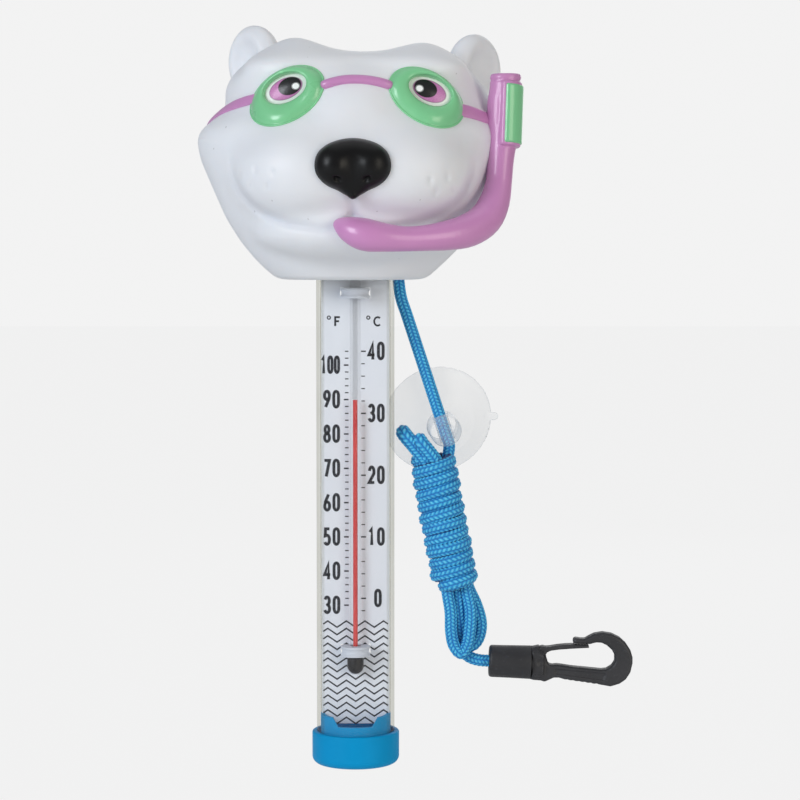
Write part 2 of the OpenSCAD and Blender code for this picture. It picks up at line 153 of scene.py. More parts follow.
def surface(form, low, high, cell, settle=3):
    """Points and outward quads where form is zero, one point in each grid cell it crosses."""
    xs, ys, zs = [np.arange(a, b + cell, cell) for a, b in zip(low, high)]
    shape = (len(xs), len(ys), len(zs))
    field = form((xs[:, None, None], ys[None, :, None], zs[None, None, :]))
    field = np.broadcast_to(field, shape).astype(np.float32)
    inside = field < 0
    corners = [(i, j, k) for i in (0, 1) for j in (0, 1) for k in (0, 1)]

    def at_corner(grid, corner):
        return grid[tuple(slice(c, c + size - 1) for c, size in zip(corner, shape))]

    count = sum(at_corner(inside, c).astype(np.int8) for c in corners)
    crossed = (count > 0) & (count < 8)
    cells = np.argwhere(crossed)
    index = np.full(crossed.shape, -1, np.int64)
    index[crossed] = np.arange(len(cells))

    # each point is the mean of where the cell's edges cross zero
    total = np.zeros((len(cells), 3))
    hits = np.zeros(len(cells))
    values = {c: at_corner(field, c)[crossed].astype(float) for c in corners}
    for near in corners:
        for axis in range(3):
            if near[axis]:
                continue
            far = tuple(near[i] + (i == axis) for i in range(3))
            here, there = values[near], values[far]
            crosses = (here < 0) != (there < 0)
            t = np.where(crosses, here / np.where(crosses, here - there, 1), 0)
            total += (vec(*near) + t[:, None] * np.eye(3)[axis]) * crosses[:, None]
            hits += crosses
    points = vec(xs[0], ys[0], zs[0]) + cell * (cells + total / np.maximum(hits, 1)[:, None])

    # each grid edge that crosses zero gives a quad between the four cells around it
    quads = []
    for axis in range(3):
        pair = [(axis + 1) % 3, (axis + 2) % 3]
        edges = np.argwhere(np.diff(inside, axis=axis))
        limits = np.array(shape)[pair] - 1
        edges = edges[((edges[:, pair] > 0) & (edges[:, pair] < limits)).all(1)]
        quad = []
        for back in ((1, 1), (0, 1), (0, 0), (1, 0)):
            around = edges.copy()
            around[:, pair] -= back
            quad.append(index[tuple(around.T)])
        quad = np.stack(quad, 1)
        flip = ~inside[tuple(edges.T)]
        quad[flip] = quad[flip][:, ::-1]
        quads.append(quad)
    quads = np.vstack(quads)
    quads = quads[(quads >= 0).all(1)]

    limit = 0.35 * cell
    for _ in range(settle):
        value, slope = value_and_slope(form, points)
        move = np.clip(value / np.maximum((slope * slope).sum(1), 0.05), -limit, limit)
        points = points - move[:, None] * slope
    return points, quads


def cell_size(full):
    return full


# ---------------------------------------------------------------- lines and profiles
def between(t, start, end, a, b):
    """a where t is start, b where t is end."""
    return (end - t) / (end - start) * a + (t - start) / (end - start) * b


def smooth_line(points, per=12, closed=False):
    """A centripetal Catmull-Rom curve through points, with per steps to a span."""
    points = np.asarray(points, float)
    if closed:
        points = np.vstack([points[-1], points, points[0], points[1]])
    else:
        points = np.vstack([2 * points[0] - points[1], points, 2 * points[-1] - points[-2]])
    spans = []
    for i in range(len(points) - 3):
        four = points[i:i + 4]
        knots = [0.0]
        for a, b in zip(four, four[1:]):
            knots.append(knots[-1] + np.linalg.norm(b - a) ** 0.5 + 1e-9)
        t = np.linspace(knots[1], knots[2], per, endpoint=False)[:, None]
        first, middle, last = (between(t, knots[j], knots[j + 1], four[j], four[j + 1])
                               for j in range(3))
        early = between(t, knots[0], knots[2], first, middle)
        late = between(t, knots[1], knots[3], middle, last)
        spans.append(between(t, knots[1], knots[2], early, late))
    line = np.vstack(spans)
    return line if closed else np.vstack([line, points[-2]])


def resample(line, spacing):
    """Evenly spaced points along a line, and their distances from its start."""
    steps = np.linalg.norm(np.diff(line, axis=0), axis=1)
    length = np.concatenate([[0], np.cumsum(steps)])
    count = max(2, int(round(length[-1] / spacing)) + 1)
    stops = np.linspace(0, length[-1], count)
    return np.stack([np.interp(stops, length, line[:, i]) for i in range(3)], 1), stops


def round_corners(points, radii, steps=6):
    """A closed outline with its corners rounded, by one radius or one for each corner."""
    rounded_points = []
    for i in range(len(points)):
        before, corner, after = (vec(*points[j % len(points)]) for j in (i - 1, i, i + 1))
        radius = radii[i] if isinstance(radii, list) else radii
        radius = min(radius, 0.45 * np.linalg.norm(before - corner),
                     0.45 * np.linalg.norm(after - corner))
        if radius < 1e-4:
            rounded_points.append(tuple(corner))
            continue
        start = corner + unit(before - corner) * radius
        end = corner + unit(after - corner) * radius
        for t in np.linspace(0, 1, steps):
            point = (1 - t) ** 2 * start + 2 * t * (1 - t) * corner + t * t * end
            rounded_points.append(tuple(point))
    return rounded_points


# ---------------------------------------------------------------- meshes
def lathe(profile, count):
    """A closed profile of (radius, height) turned about Z, with points on the axis shared."""
    points, rings = [], []
    for radius, z in profile:
        if radius < 1e-6:
            rings.append([len(points)] * count)
            points.append((0, 0, z))
            continue
        rings.append(list(range(len(points), len(points) + count)))
        for i in range(count):
            turn = 2 * math.pi * i / count
            points.append((radius * math.cos(turn), radius * math.sin(turn), z))
    faces = []
    for low, high in zip(rings, rings[1:] + rings[:1]):
        for i in range(count):
            j = (i + 1) % count
            face = [low[i], low[j], high[j], high[i]]
            face = [corner for k, corner in enumerate(face) if corner != face[k - 1]]
            if len(set(face)) >= 3:
                faces.append(face)
    return np.array(points, float), faces


def ring_faces(rings, around, loop=False):
    """Quads from each ring of points to the next, with end caps unless the rings loop."""
    ring = list(range(around))
    faces = []
    for i in range(rings if loop else rings - 1):
        low, high = i * around, (i + 1) % rings * around
        for j in ring:
            k = (j + 1) % around
            faces.append([low + j, low + k, high + k, high + j])
    if not loop:
        faces += [ring[::-1], [(rings - 1) * around + j for j in ring]]
    return faces


def make(name, points, faces, attributes=None, smooth=True, sharp=None):
    """A mesh object from points in millimetres; edges over sharp degrees stay crisp."""
    mesh = bpy.data.meshes.new(name)
    totals = np.array([len(face) for face in faces])
    corners = np.concatenate(faces)
    starts = np.concatenate([[0], np.cumsum(totals)[:-1]])
    mesh.vertices.add(len(points))
    mesh.vertices.foreach_set("co", (np.asarray(points, float) * MM).astype(np.float32).ravel())
    mesh.loops.add(len(corners))
    mesh.loops.foreach_set("vertex_index", corners.astype(np.int32))
    mesh.polygons.add(len(faces))
    mesh.polygons.foreach_set("loop_start", starts.astype(np.int32))
    mesh.polygons.foreach_set("loop_total", totals.astype(np.int32))
    mesh.polygons.foreach_set("use_smooth", np.full(len(faces), smooth))
    mesh.update(calc_edges=True)
    mesh.validate()
    for key, values in (attributes or {}).items():
        values = np.asarray(values, np.float32)
        kind, field = ("FLOAT_VECTOR", "vector") if values.ndim == 2 else ("FLOAT", "value")
        mesh.attributes.new(key, kind, "POINT").data.foreach_set(field, values.ravel())
    if sharp:
        mesh.set_sharp_from_angle(angle=math.radians(sharp))
    ob = bpy.data.objects.new(name, mesh)
    scene.collection.objects.link(ob)
    return ob


def outward(ob):
    """Turns every face outward."""
    work = bmesh.new()
    work.from_mesh(ob.data)
    bmesh.ops.recalc_face_normals(work, faces=work.faces)
    work.to_mesh(ob.data)
    work.free()
    return ob


def evaluated_mesh(ob):
    bpy.context.view_layer.update()
    graph = bpy.context.evaluated_depsgraph_get()
    return bpy.data.meshes.new_from_object(ob.evaluated_get(graph), depsgraph=graph)


def cut_mesh(ob, cutter):
    modifier = ob.modifiers.new("cut", "BOOLEAN")
    modifier.operation = "DIFFERENCE"
    modifier.object = cutter
    try:
        modifier.solver = "MANIFOLD"
    except TypeError:  # a build without the manifold solver
        modifier.solver = "EXACT"
    mesh = evaluated_mesh(ob)
    if len(mesh.polygons) < 0.5 * len(ob.data.polygons):  # the solver gave up
        modifier.solver = "EXACT"
        mesh = evaluated_mesh(ob)
    ob.modifiers.clear()
    ob.data = mesh
    bpy.data.objects.remove(cutter)


def assign(ob, mat):
    ob.data.materials.clear()
    ob.data.materials.append(mat.material)


def fit(ob, body, slot, *replaced):
    """Ties a piece to a moving body and hides the CAD nodes it stands in for; slot is not used."""
    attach(ob, body)
    if replaced:
        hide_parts(*replaced)


# ---------------------------------------------------------------- material building
BLACK, WHITE = (0, 0, 0), (1, 1, 1)


def srgb(*parts):
    """An sRGB colour, 0 to 255, as linear."""
    return tuple((c / 255 / 12.92) if c / 255 <= 0.04045 else ((c / 255 + 0.055) / 1.055) ** 2.4
                 for c in parts)


def darker(colour, share):
    return tuple(c * share for c in colour)


class Mat:
    """A Principled material and helpers for the nodes that drive it."""

    def __init__(self, name, rough=0.5):
        self.material = bpy.data.materials.new(name)
        self.material.use_nodes = True
        self.tree = self.material.node_tree
        self.tree.nodes.clear()
        self.out = self.node("ShaderNodeOutputMaterial")
        self.shader = self.node("ShaderNodeBsdfPrincipled")
        self.put(self.out.inputs[0], self.shader.outputs[0])
        self.set(Roughness=rough)

    def node(self, kind, **settings):
        node = self.tree.nodes.new(kind)
        for key, value in settings.items():
            setattr(node, key, value)
        return node

    def put(self, socket, value):
        """Links a socket to another, or sets it to a number or a colour."""
        if isinstance(value, bpy.types.NodeSocket):
            self.tree.links.new(value, socket)
        else:
            if isinstance(value, tuple) and len(value) == 3 and socket.type == "RGBA":
                value = value + (1,)
            socket.default_value = value

    def set(self, **inputs):
        """Drives inputs of the Principled shader."""
        for key, value in inputs.items():
            self.put(self.shader.inputs[key.replace("_", " ")], value)

    def coords(self, attribute=None):
        if attribute:
            return self.node("ShaderNodeAttribute", attribute_name=attribute).outputs["Vector"]
        return self.node("ShaderNodeTexCoord").outputs["Object"]

    def value(self, attribute):
        return self.node("ShaderNodeAttribute", attribute_name=attribute).outputs["Fac"]

    def noise(self, scale, detail=3, roughness=0.5, space=None, stretch=None):
        space = space or self.coords()
        if stretch:
            mapping = self.node("ShaderNodeMapping")
            mapping.inputs["Scale"].default_value = stretch
            self.put(mapping.inputs["Vector"], space)
            space = mapping.outputs[0]
        node = self.node("ShaderNodeTexNoise")
        node.inputs["Scale"].default_value = scale
        node.inputs["Detail"].default_value = detail
        node.inputs["Roughness"].default_value = roughness
        self.put(node.inputs["Vector"], space)
        return node.outputs["Fac"]

    def ramp(self, value, stops):
        node = self.node("ShaderNodeValToRGB")
        elements = node.color_ramp.elements
        while len(elements) < len(stops):
            elements.new(0.5)
        for element, (position, colour) in zip(elements, stops):
            element.position = position
            element.color = tuple(colour) + (1,)
        self.put(node.inputs[0], value)
        return node.outputs[0]

    def remap(self, value, low=0, high=1, start=0.3, stop=0.7):
        """low where the value is start, high where it is stop."""
        node = self.node("ShaderNodeMapRange")
        for key, number in zip(("From Min", "From Max", "To Min", "To Max"),
                               (start, stop, low, high)):
            node.inputs[key].default_value = number
        self.put(node.inputs[0], value)
        return node.outputs[0]

    def maths(self, operation, *values, clamp=False):
        node = self.node("ShaderNodeMath", operation=operation, use_clamp=clamp)
        for socket, value in zip(node.inputs, values):
            self.put(socket, value)
        return node.outputs[0]

    def times(self, a, b):
        return self.maths("MULTIPLY", a, b)

    def mix(self, share, a, b):
        node = self.node("ShaderNodeMix", data_type="RGBA")
        for i, value in ((0, share), (6, a), (7, b)):
            self.put(node.inputs[i], value)
        return node.outputs[2]

    def bump(self, height, strength, distance, over=None):
        node = self.node("ShaderNodeBump")
        node.inputs["Strength"].default_value = strength
        node.inputs["Distance"].default_value = distance
        self.put(node.inputs["Height"], height)
        if over is not None:
            self.put(node.inputs["Normal"], over)
        return node.outputs[0]

    def uneven(self, low, high, **noise):
        """A number that wanders between two."""
        return self.remap(self.noise(**noise), low, high)

    def drift(self, low, high, **noise):
        """A colour that wanders between two."""
        return self.mix(self.uneven(0, 1, **noise), low, high)

    def grain(self, strength, distance, over=None, **noise):
        return self.bump(self.noise(**noise), strength, distance, over)

    def specks(self, start, stop, **noise):
        """White dots where the noise peaks."""
        return self.ramp(self.noise(**noise), [(0.0, BLACK), (start, BLACK), (stop, WHITE)])

    def pointed(self, *stops):
        """A ramp over how sharply the surface bends: above 0.5 on edges, below in creases."""
        geometry = self.node("ShaderNodeNewGeometry")
        return self.ramp(geometry.outputs["Pointiness"], stops)

    def over(self, base, colour, mask, amount):
        return self.mix(self.times(mask, amount), base, colour)


def moulded(name, colour, rough, spread, coat=0.0, grain=900, depth=0.00003, edge=0.0,
            shine=0.5):
    """Plastic with slow colour drift, fine grain, uneven gloss and lighter rubbed edges."""
    mat = Mat(name)
    bright = tuple(min(1, c * (1 + spread)) for c in colour)
    tone = mat.drift(darker(colour, 1 - spread), bright, scale=38)
    if edge:
        worn = mat.pointed((0.52, BLACK), (0.62, WHITE))
        worn = mat.times(worn, mat.uneven(0, 1, scale=160, detail=4))
        tone = mat.over(tone, tuple(min(1, c * 1.5 + 0.06) for c in colour), worn, edge)
    fine = mat.grain(strength=0.5, distance=depth, scale=grain, detail=4, roughness=0.6)
    mat.set(Base_Color=tone,
            Roughness=mat.uneven(rough * 0.86, rough * 1.16, scale=90, detail=4),
            Normal=mat.grain(strength=0.12, distance=0.0003, over=fine, scale=55, detail=2),
            Specular_IOR_Level=shine)
    if coat:
        mat.set(Coat_Weight=coat, Coat_Roughness=0.12)
    return mat


def see_through(name, tint, painted_edge_shade, rough, milk, ior, shine, wall=None, cast=1.0):
    """Clear plastic or glass: light passes straight through, with Fresnel shine.

    painted_edge_shade is painted shade: the colour that light passing through takes where it is
    seen edge on, standing in for the dark edges refraction gives; wall narrows it to a range of
    facing;
    milk is how cloudy it looks and cast how much it tints its shadow.
    """
    mat = Mat(name, rough)
    weight = mat.node("ShaderNodeLayerWeight")
    weight.inputs[0].default_value = 0.5
    facing = weight.outputs["Facing"]
    if wall:
        edge = mat.remap(facing, start=wall[0], stop=wall[1])
    else:
        edge = mat.maths("POWER", facing, 2.2)
    cloud = mat.noise(scale=60)
    # painted shade: the light passing through is darkened where the surface is seen edge on
    through = mat.mix(mat.remap(cloud, high=0.25), mat.mix(edge, tint, painted_edge_shade),
                      darker(tint, 0.97))
    mat.set(Base_Color=mat.mix(mat.remap(cloud), tint, darker(tint, 0.96)),
            Roughness=mat.uneven(rough * 0.7, rough * 1.5, scale=220),
            Normal=mat.grain(strength=0.15, distance=0.0002, scale=140, detail=2),
            IOR=ior)
    fresnel = mat.node("ShaderNodeFresnel")
    fresnel.inputs[0].default_value = ior
    behind = mat.node("ShaderNodeNewGeometry").outputs["Backfacing"]
    glint = mat.times(mat.times(fresnel.outputs[0], shine), mat.maths("SUBTRACT", 1.0, behind))
    haze = mat.maths("ADD", mat.times(edge, milk * 2), milk)
    rays = mat.node("ShaderNodeLightPath").outputs
    unseen = mat.maths("MAXIMUM", rays["Is Shadow Ray"], rays["Is Diffuse Ray"])
    share = mat.times(mat.maths("ADD", glint, haze, clamp=True),
                      mat.maths("SUBTRACT", 1.0, unseen))
    if cast < 1:
        through = mat.mix(mat.times(rays["Is Shadow Ray"], 1 - cast), through, WHITE)
    clear = mat.node("ShaderNodeBsdfTransparent")
    mat.put(clear.inputs[0], through)
    mixer = mat.node("ShaderNodeMixShader")
    for socket, value in zip(mixer.inputs, (share, clear.outputs[0], mat.shader.outputs[0])):
        mat.put(socket, value)
    mat.put(mat.out.inputs[0], mixer.outputs[0])
    return mat


# ---------------------------------------------------------------- head
# (height, half width or depth) of the skull
HALF_ROWS = [
    (156, 24.6), (158, 27.2), (162, 31.5), (168, 36.4), (175, 40.8), (182, 43.9), (188, 46.5),
    (194, 49.0), (199.5, 50.1), (203, 49.5), (206, 47.3), (209, 45.3), (212, 43.7), (218, 40.3),
    (224, 36.8), (230, 33.4), (236, 30.4)]
FRONT_ROWS = [
    (156, 22.5), (158, 24.6), (162, 27.4), (168, 31), (175, 36), (182, 40), (188, 41.5),
    (194, 41.4), (200, 40.6), (206, 39), (212, 37.2), (218, 34.6), (224, 31), (230, 26.5),
    (236, 22)]
BACK_ROWS = [
    (156, 22), (158, 24.5), (162, 28), (168, 31.5), (175, 34.5), (182, 36.5), (188, 37.6),
    (194, 38.2), (206, 38.3), (218, 37.2), (226, 34.5), (236, 31)]
SKULL_POWER = 2.25  # 2 would give a round section, more is squarer
NECK_Z = 156
# (x, z) of the right half of the mouth, from its corner to the middle
SMILE = [(37.4, 192.5), (36.6, 188), (34.6, 183.2), (31.2, 179.4), (27.2, 176.6),
         (19.5, 173.3), (10, 171.9), (4, 172.6), (0, 175.2)]
PHILTRUM = [(0, 181.4), (0, 175.2)]
# (x, z) of the dimples on the muzzle
WHISKERS = [(-29.4, 189.8), (-24, 188.9), (-31, 185.2), (-25.8, 184.6), (-34.6, 188.3),
            (23.4, 186.4), (28.6, 187.4), (25.2, 183), (30.6, 183.4), (35.2, 185.6)]
EAR_CENTRES = {-1: (-32.3, 10.5, 225.2), 1: (38.0, 10.5, 222.4)}
SHELL = 2.4  # wall thickness


def smooth_rows(rows, sigma):
    """(heights, values) of a table, evenly spaced and blurred by sigma."""
    z, values = np.array(rows, float).T
    heights = np.arange(z[0] - 6, z[-1] + 6.01, 0.2)
    fine = np.interp(heights, z, values)
    below = heights < z[0]
    fine[below] = values[0] + (values[1] - values[0]) / (z[1] - z[0]) * (heights[below] - z[0])
    kernel = np.exp(-0.5 * (np.arange(-20, 21) * 0.2 / sigma) ** 2)
    kernel /= kernel.sum()
    return heights, np.convolve(np.pad(fine, 20, mode="edge"), kernel, mode="valid")


HALF = smooth_rows(HALF_ROWS, sigma=1.2)
FRONT = smooth_rows(FRONT_ROWS, sigma=1.6)
BACK = smooth_rows(BACK_ROWS, sigma=1.8)


def skull(at):
    x, y, z = at
    half, front, back = (np.interp(z, *rows) for rows in (HALF, FRONT, BACK))
    depth = np.where(y < 0, front, back)
    # uneven: the left temple is flatter, and the lower right side is slimmer
    half = half - np.where(x < 0, 3.3 * bell(z - 209.6, 5.0), 2.4 * ease(176, 160, z))
    ratio = (np.abs(x) / half) ** SKULL_POWER + (np.abs(y) / depth) ** SKULL_POWER
    ratio = ratio ** (1 / SKULL_POWER)
    radius = np.sqrt(x * x + y * y)
    slope = np.interp(z, HALF[0], np.gradient(HALF[1], HALF[0]))
    side = (radius - radius / np.maximum(ratio, 1e-3)) / np.sqrt(1 + slope * slope)
    # the crown leans to the right, swells on each side and falls away to front and back
    off = (np.abs(x - 1.5) - np.where(x > 1.5, 22.0, 20.5)) / np.where(x > 24, 12.5, 10.5)
    swell = 4.6 * np.exp(-(off ** 2) - ((y + 13) / 14) ** 2)
    behind = 9 * (np.clip(y - 2, 0, None) / 34) ** 2
    ahead = 7 * (np.clip(-12 - y, 0, None) / 20) ** 2
    top = 226.5 - 0.034 * x + swell - behind - ahead
    form = meet(side, (z - top) * 0.92, soft=10)
    return meet(form, NECK_Z - z, soft=1.5)


def hollow_out(form, at):
    """Takes out the hollows the goggles sit in."""
    for side in SIDES:
        form = cut(form, ellipsoid(at, (side * 21.8, -45.2, 215.5), (18, 10.5, 10.5)), soft=7)
    return form


def muzzle(at):
    left, right = (ellipsoid(at, (side * 13, -25.2, 189.5), (24.5, 23.3, 17.3))
                   for side in SIDES)
    return join(left, right, soft=7)


def ear(at, side):
    turn = np.array(Matrix.Rotation(math.radians(48 * side), 3, "Z")
                    @ Matrix.Rotation(math.radians(24 * side), 3, "Y"))
    x, y, z = (v - c for v, c in zip(at, EAR_CENTRES[side]))
    local = [turn[0, i] * x + turn[1, i] * y + turn[2, i] * z for i in range(3)]
    dish = ellipsoid(local, (side * 0.6, -7.0, 0.4), (7.8, 6.2, 8.8))
    return cut(ellipsoid(local, (0, 0, 0), (11.4, 6.0, 12.3)), dish, soft=2.6)


def head(at):
    x, y, z = at
    form = hollow_out(skull(at), at)
    for side in SIDES:
        brow = ellipsoid(at, (side * 19.5 + 1.0, -21.5, 221.4), (13.5, 9.6, 4.0))
        form = join(form, brow, soft=8)
    between_eyes = ellipsoid(at, (0, -24.5, 205.5), (14, 14.6, 15))
    form = join(form, between_eyes, soft=11)
    jaw = ellipsoid(at, (0, -20.8, 171.6), (31, 21.4, 10.6))
    form = join(form, jaw, soft=3.2)
    form = join(form, muzzle(at), soft=4.6)
    front = ease(-6, -16, y)
    off = np.abs(x)
    mouth_depth = 0.5 + 0.5 * ease(194, 184, z)
    form = form + front * mouth_depth * bell(line_distance(off, z, SMILE), 1.5)
    form = form + front * 0.55 * bell(line_distance(off, z, PHILTRUM), 1.5)
    for dot_x, dot_z in WHISKERS:
        dot = np.exp(-(((x - dot_x) / 0.8) ** 2 + ((z - dot_z) / 1.15) ** 2))
        form = form + front * 0.42 * dot
    for side in SIDES:
        form = join(form, ear(at, side), soft=2.2)
    return form


def cavity(at):
    return hollow_out(join(skull(at), muzzle(at), soft=4.6), at) + SHELL


def fold_shade(points):
    """How much painted shade each point gets in the folds of the mouth, 0 to 1."""
    x, y, z = points.T
    off = np.abs(x)
    folds = np.maximum(bell(line_distance(off, z, SMILE), 1.7),
                       0.8 * bell(line_distance(off, z, PHILTRUM), 1.5))
    return ease(-6, -16, y) * ease(193, 184, z) * folds


def vinyl_material():
    mat = Mat("white_vinyl")
    tone = mat.drift(srgb(229, 231, 236), srgb(236, 238, 241), scale=22, roughness=0.55)
    dirt = mat.specks(start=0.755, stop=0.775, scale=420, detail=2)
    tone = mat.over(tone, srgb(150, 150, 150), dirt, amount=0.4)
    # painted shade: creases, found by pointiness, are painted a darker blue-grey
    painted_crease_shade = mat.pointed((0.40, WHITE), (0.488, BLACK))
    tone = mat.over(tone, srgb(176, 180, 196), painted_crease_shade, amount=0.35)
    # painted shade: the mouth folds are painted a darker blue-grey
    tone = mat.over(tone, srgb(176, 181, 196), mat.value("painted_fold_shade"), amount=0.2)
    fine = mat.grain(strength=0.45, distance=0.00003, scale=1500, roughness=0.6)
    mat.set(Base_Color=tone, Roughness=mat.uneven(0.40, 0.50, scale=70, detail=4),
            Normal=mat.grain(strength=0.10, distance=0.0004, over=fine, scale=60),
            Specular_IOR_Level=0.42, Subsurface_Weight=0.18,
            Subsurface_Radius=(1.0, 0.8, 0.7), Subsurface_Scale=0.003)
    return mat


def build_head():
    """A hollow head, with a round hole at the neck for the tube."""
    outer, outer_quads = surface(head, (-55, -54, 153), (55, 42, 241), cell_size(0.65))
    inner, inner_quads = surface(cavity, (-50, -50, 156), (50, 38, 232), 1.7, settle=2)
    ob = make("bear_head", np.vstack([outer, inner]),
              np.vstack([outer_quads, inner_quads[:, ::-1] + len(outer)]))
    neck_hole = [(0, 150), (19.03, 150), (19.03, 162), (0, 162)]  # radius, z
    cut_mesh(ob, outward(make("cutter", *lathe(neck_hole, 160), smooth=False)))
    mesh = ob.data
    mesh.polygons.foreach_set("use_smooth", np.ones(len(mesh.polygons), bool))
    mesh.set_sharp_from_angle(angle=math.radians(50))
    points = np.empty(len(mesh.vertices) * 3, np.float32)
    mesh.vertices.foreach_get("co", points)
    # painted shade for the mouth folds, kept as a point attribute for the material
    painted_fold_shade = fold_shade(points.reshape(-1, 3) / MM)
    attribute = mesh.attributes.new("painted_fold_shade", "FLOAT", "POINT")
    attribute.data.foreach_set("value", painted_fold_shade.astype(np.float32))
    fit(ob, "float", "head_vinyl", "head_shell")
    assign(ob, vinyl_material())


build_head()

# ---------------------------------------------------------------- goggles and eyes
green = moulded("green_paint", srgb(126, 205, 148), rough=0.30, spread=0.045, coat=0.45,
                grain=700, depth=0.00004, edge=0.35)
pink = moulded("pink_paint", srgb(203, 138, 191), rough=0.33, spread=0.05, coat=0.35,
               grain=700, depth=0.00004, edge=0.3)

# (x, z) centres and (long, short) half sizes, as seen from the front
FRAME_CENTRES = {-1: vec(-20.2, 212.3), 1: vec(22.4, 211.8)}
OPENING_CENTRES = {-1: vec(-20.1, 214.2), 1: vec(23.0, 213.4)}
FRAME_SIZE, FRAME_TILT = (12.55, 7.9), 31
OPENING_SIZE, OPENING_TILT = (6.8, 4.25), 23
EYE_SIZE = (6.95, 4.4)
# (way in from the outer edge to the opening, height above the skin)
FRAME_SECTION = [
    (-0.03, -1.4), (-0.03, -0.3), (-0.022, 0.25), (0.0, 0.52), (0.03, 0.56), (0.052, 0.44),
    (0.07, 0.5), (0.1, 0.78), (0.16, 1.28), (0.25, 1.86), (0.36, 2.4), (0.48, 2.82),
    (0.6, 3.1), (0.72, 3.26), (0.82, 3.3), (0.9, 3.2), (0.95, 3.0), (0.985, 2.66), (1.0, 2.2),
    (1.01, 1.6), (1.02, -1.4)]
# (share of the eye's radius, height), from the middle out to the skirt
EYE_SECTION = [(share, 1.15 + 1.15 * (1 - share ** 2))
               for share in (0.0, 0.12, 0.25, 0.4, 0.55, 0.7, 0.82, 0.92, 1.0, 1.06)]
EYE_SECTION.append((1.06, -1.2))
# (centre x, centre y, half width, half height, soft edge, colour); None is the mottled iris
EYE_OVALS = [
    (0.05, -0.05, 5.35, 3.2, 0.045, srgb(120, 70, 110)),
    (0.05, -0.05, 5.15, 3.02, 0.03, None),
    (1.5, 0.12, 3.6, 2.68, 0.035, (0.006, 0.006, 0.007)),
    (3.2, -0.65, 1.28, 1.12, 0.06, srgb(150, 150, 150)),
    (3.2, -0.65, 0.98, 0.86, 0.06, srgb(250, 250, 250))]


def painted_oval(mat, space, centre, radii, soft):
    """1 inside an oval, fading over a soft edge."""
    parts = mat.node("ShaderNodeSeparateXYZ")
    mat.put(parts.inputs[0], space)
    squares = []
    for i in range(2):
        ratio = mat.maths("DIVIDE", mat.maths("SUBTRACT", parts.outputs[i], centre[i]), radii[i])
        squares.append(mat.times(ratio, ratio))
    distance = mat.maths("SQRT", mat.maths("ADD", *squares))
    return mat.remap(distance, low=1, high=0, start=1 - soft, stop=1 + soft)


def eye_material():
    """Eye paint, laid out in the paint attribute's millimetres from the eye's middle."""
    mat = Mat("eye_paint", rough=0.16)
    space = mat.coords("paint")
    tone = mat.drift(srgb(240, 240, 238), srgb(250, 250, 248), scale=0.9, space=space)
    iris = mat.drift(srgb(190, 112, 172), srgb(206, 134, 190), scale=2.2, roughness=0.6,
                     space=space)
    for x, y, half_x, half_y, soft, colour in EYE_OVALS:
        mask = painted_oval(mat, space, (x, y), (half_x, half_y), soft)
        tone = mat.mix(mask, tone, colour or iris)
    mat.set(Base_Color=tone, Roughness=mat.uneven(0.26, 0.38, scale=1.4, space=space),
            Normal=mat.grain(strength=0.12, distance=0.0001, scale=1.6, space=space),
            Coat_Weight=0.12)
    return mat


def tilted_axes(side, degrees):
    """(x, z) directions of an oval's long and short axes, rising towards the nose."""
    tilt = math.radians(degrees)
    return (vec(-side * math.cos(tilt), math.sin(tilt)),
            vec(side * math.sin(tilt), math.cos(tilt)))


def onto_head(spots, start):
    """Where lines running back through (x, z) spots from y = start meet the head."""
    points = np.stack([spots[:, 0], np.full(len(spots), start), spots[:, 1]], 1)
    for _ in range(60):
        points[:, 1] += 0.8 * head(points.T)
    return points


def build_frame(side, middle, facing, long_axis, short_axis):
    around = 144
    turns = np.linspace(0, 2 * math.pi, around, endpoint=False)[:, None]

    def oval_on_skin(centre, size, long_way, short_way):
        spots = centre + size[0] * np.cos(turns) * long_way + size[1] * np.sin(turns) * short_way
        return onto_head(spots, start=-74.0)

    rim = oval_on_skin(FRAME_CENTRES[side], FRAME_SIZE, *tilted_axes(side, FRAME_TILT))
    well = oval_on_skin(OPENING_CENTRES[side], OPENING_SIZE, long_axis, short_axis)
    well = well - np.outer((well - middle) @ facing, facing) * 0.75  # flatten the opening
    rings = []
    for share, height in FRAME_SECTION:
        ring = rim * (1 - share) + well * share + height * facing
        if height > 0.3:  # never below the skin
            ring = ring + np.clip(0.45 - head(ring.T), 0, 6)[:, None] * facing
        rings.append(ring)
    ob = make("goggle_frame_" + SIDES[side], np.vstack(rings),
              ring_faces(len(rings), around, loop=True))
    outward(ob)
    assign(ob, green)
    fit(ob, "float", "green_vinyl", "goggle_" + SIDES[side])


def build_eye(side, middle, facing, long_axis, short_axis, mat):
    """A low dome behind the opening, with a skirt and a flat back."""
    around = 96
    turns = np.linspace(0, 2 * math.pi, around, endpoint=False)
    points, paint = [], []
    for share, height in EYE_SECTION:
        for turn in (turns if share else [0.0]):
            a = EYE_SIZE[0] * share * math.cos(turn)
            b = EYE_SIZE[1] * share * math.sin(turn)
            off_x, off_z = a * long_axis + b * short_axis
            # on the plane through the middle, square to facing
            off_y = -(facing[0] * off_x + facing[2] * off_z) / facing[1]
            points.append(middle + vec(off_x, off_y, off_z) + height * facing)
            paint.append((a, b, 0))
    rings = len(EYE_SECTION) - 1
    faces = []
    for j in range(around):
        k = (j + 1) % around
        faces.append([0, 1 + j, 1 + k])
        for i in range(rings - 1):
            low, high = 1 + i * around, 1 + (i + 1) * around
            faces.append([low + j, high + j, high + k, low + k])
    faces.append([1 + (rings - 1) * around + j for j in range(around)][::-1])
    ob = make("eye_" + SIDES[side] + "_dome", points, faces, {"paint": paint}, sharp=60)
    outward(ob)
    assign(ob, mat)
    fit(ob, "float", "eye_paint", "eye_" + SIDES[side])


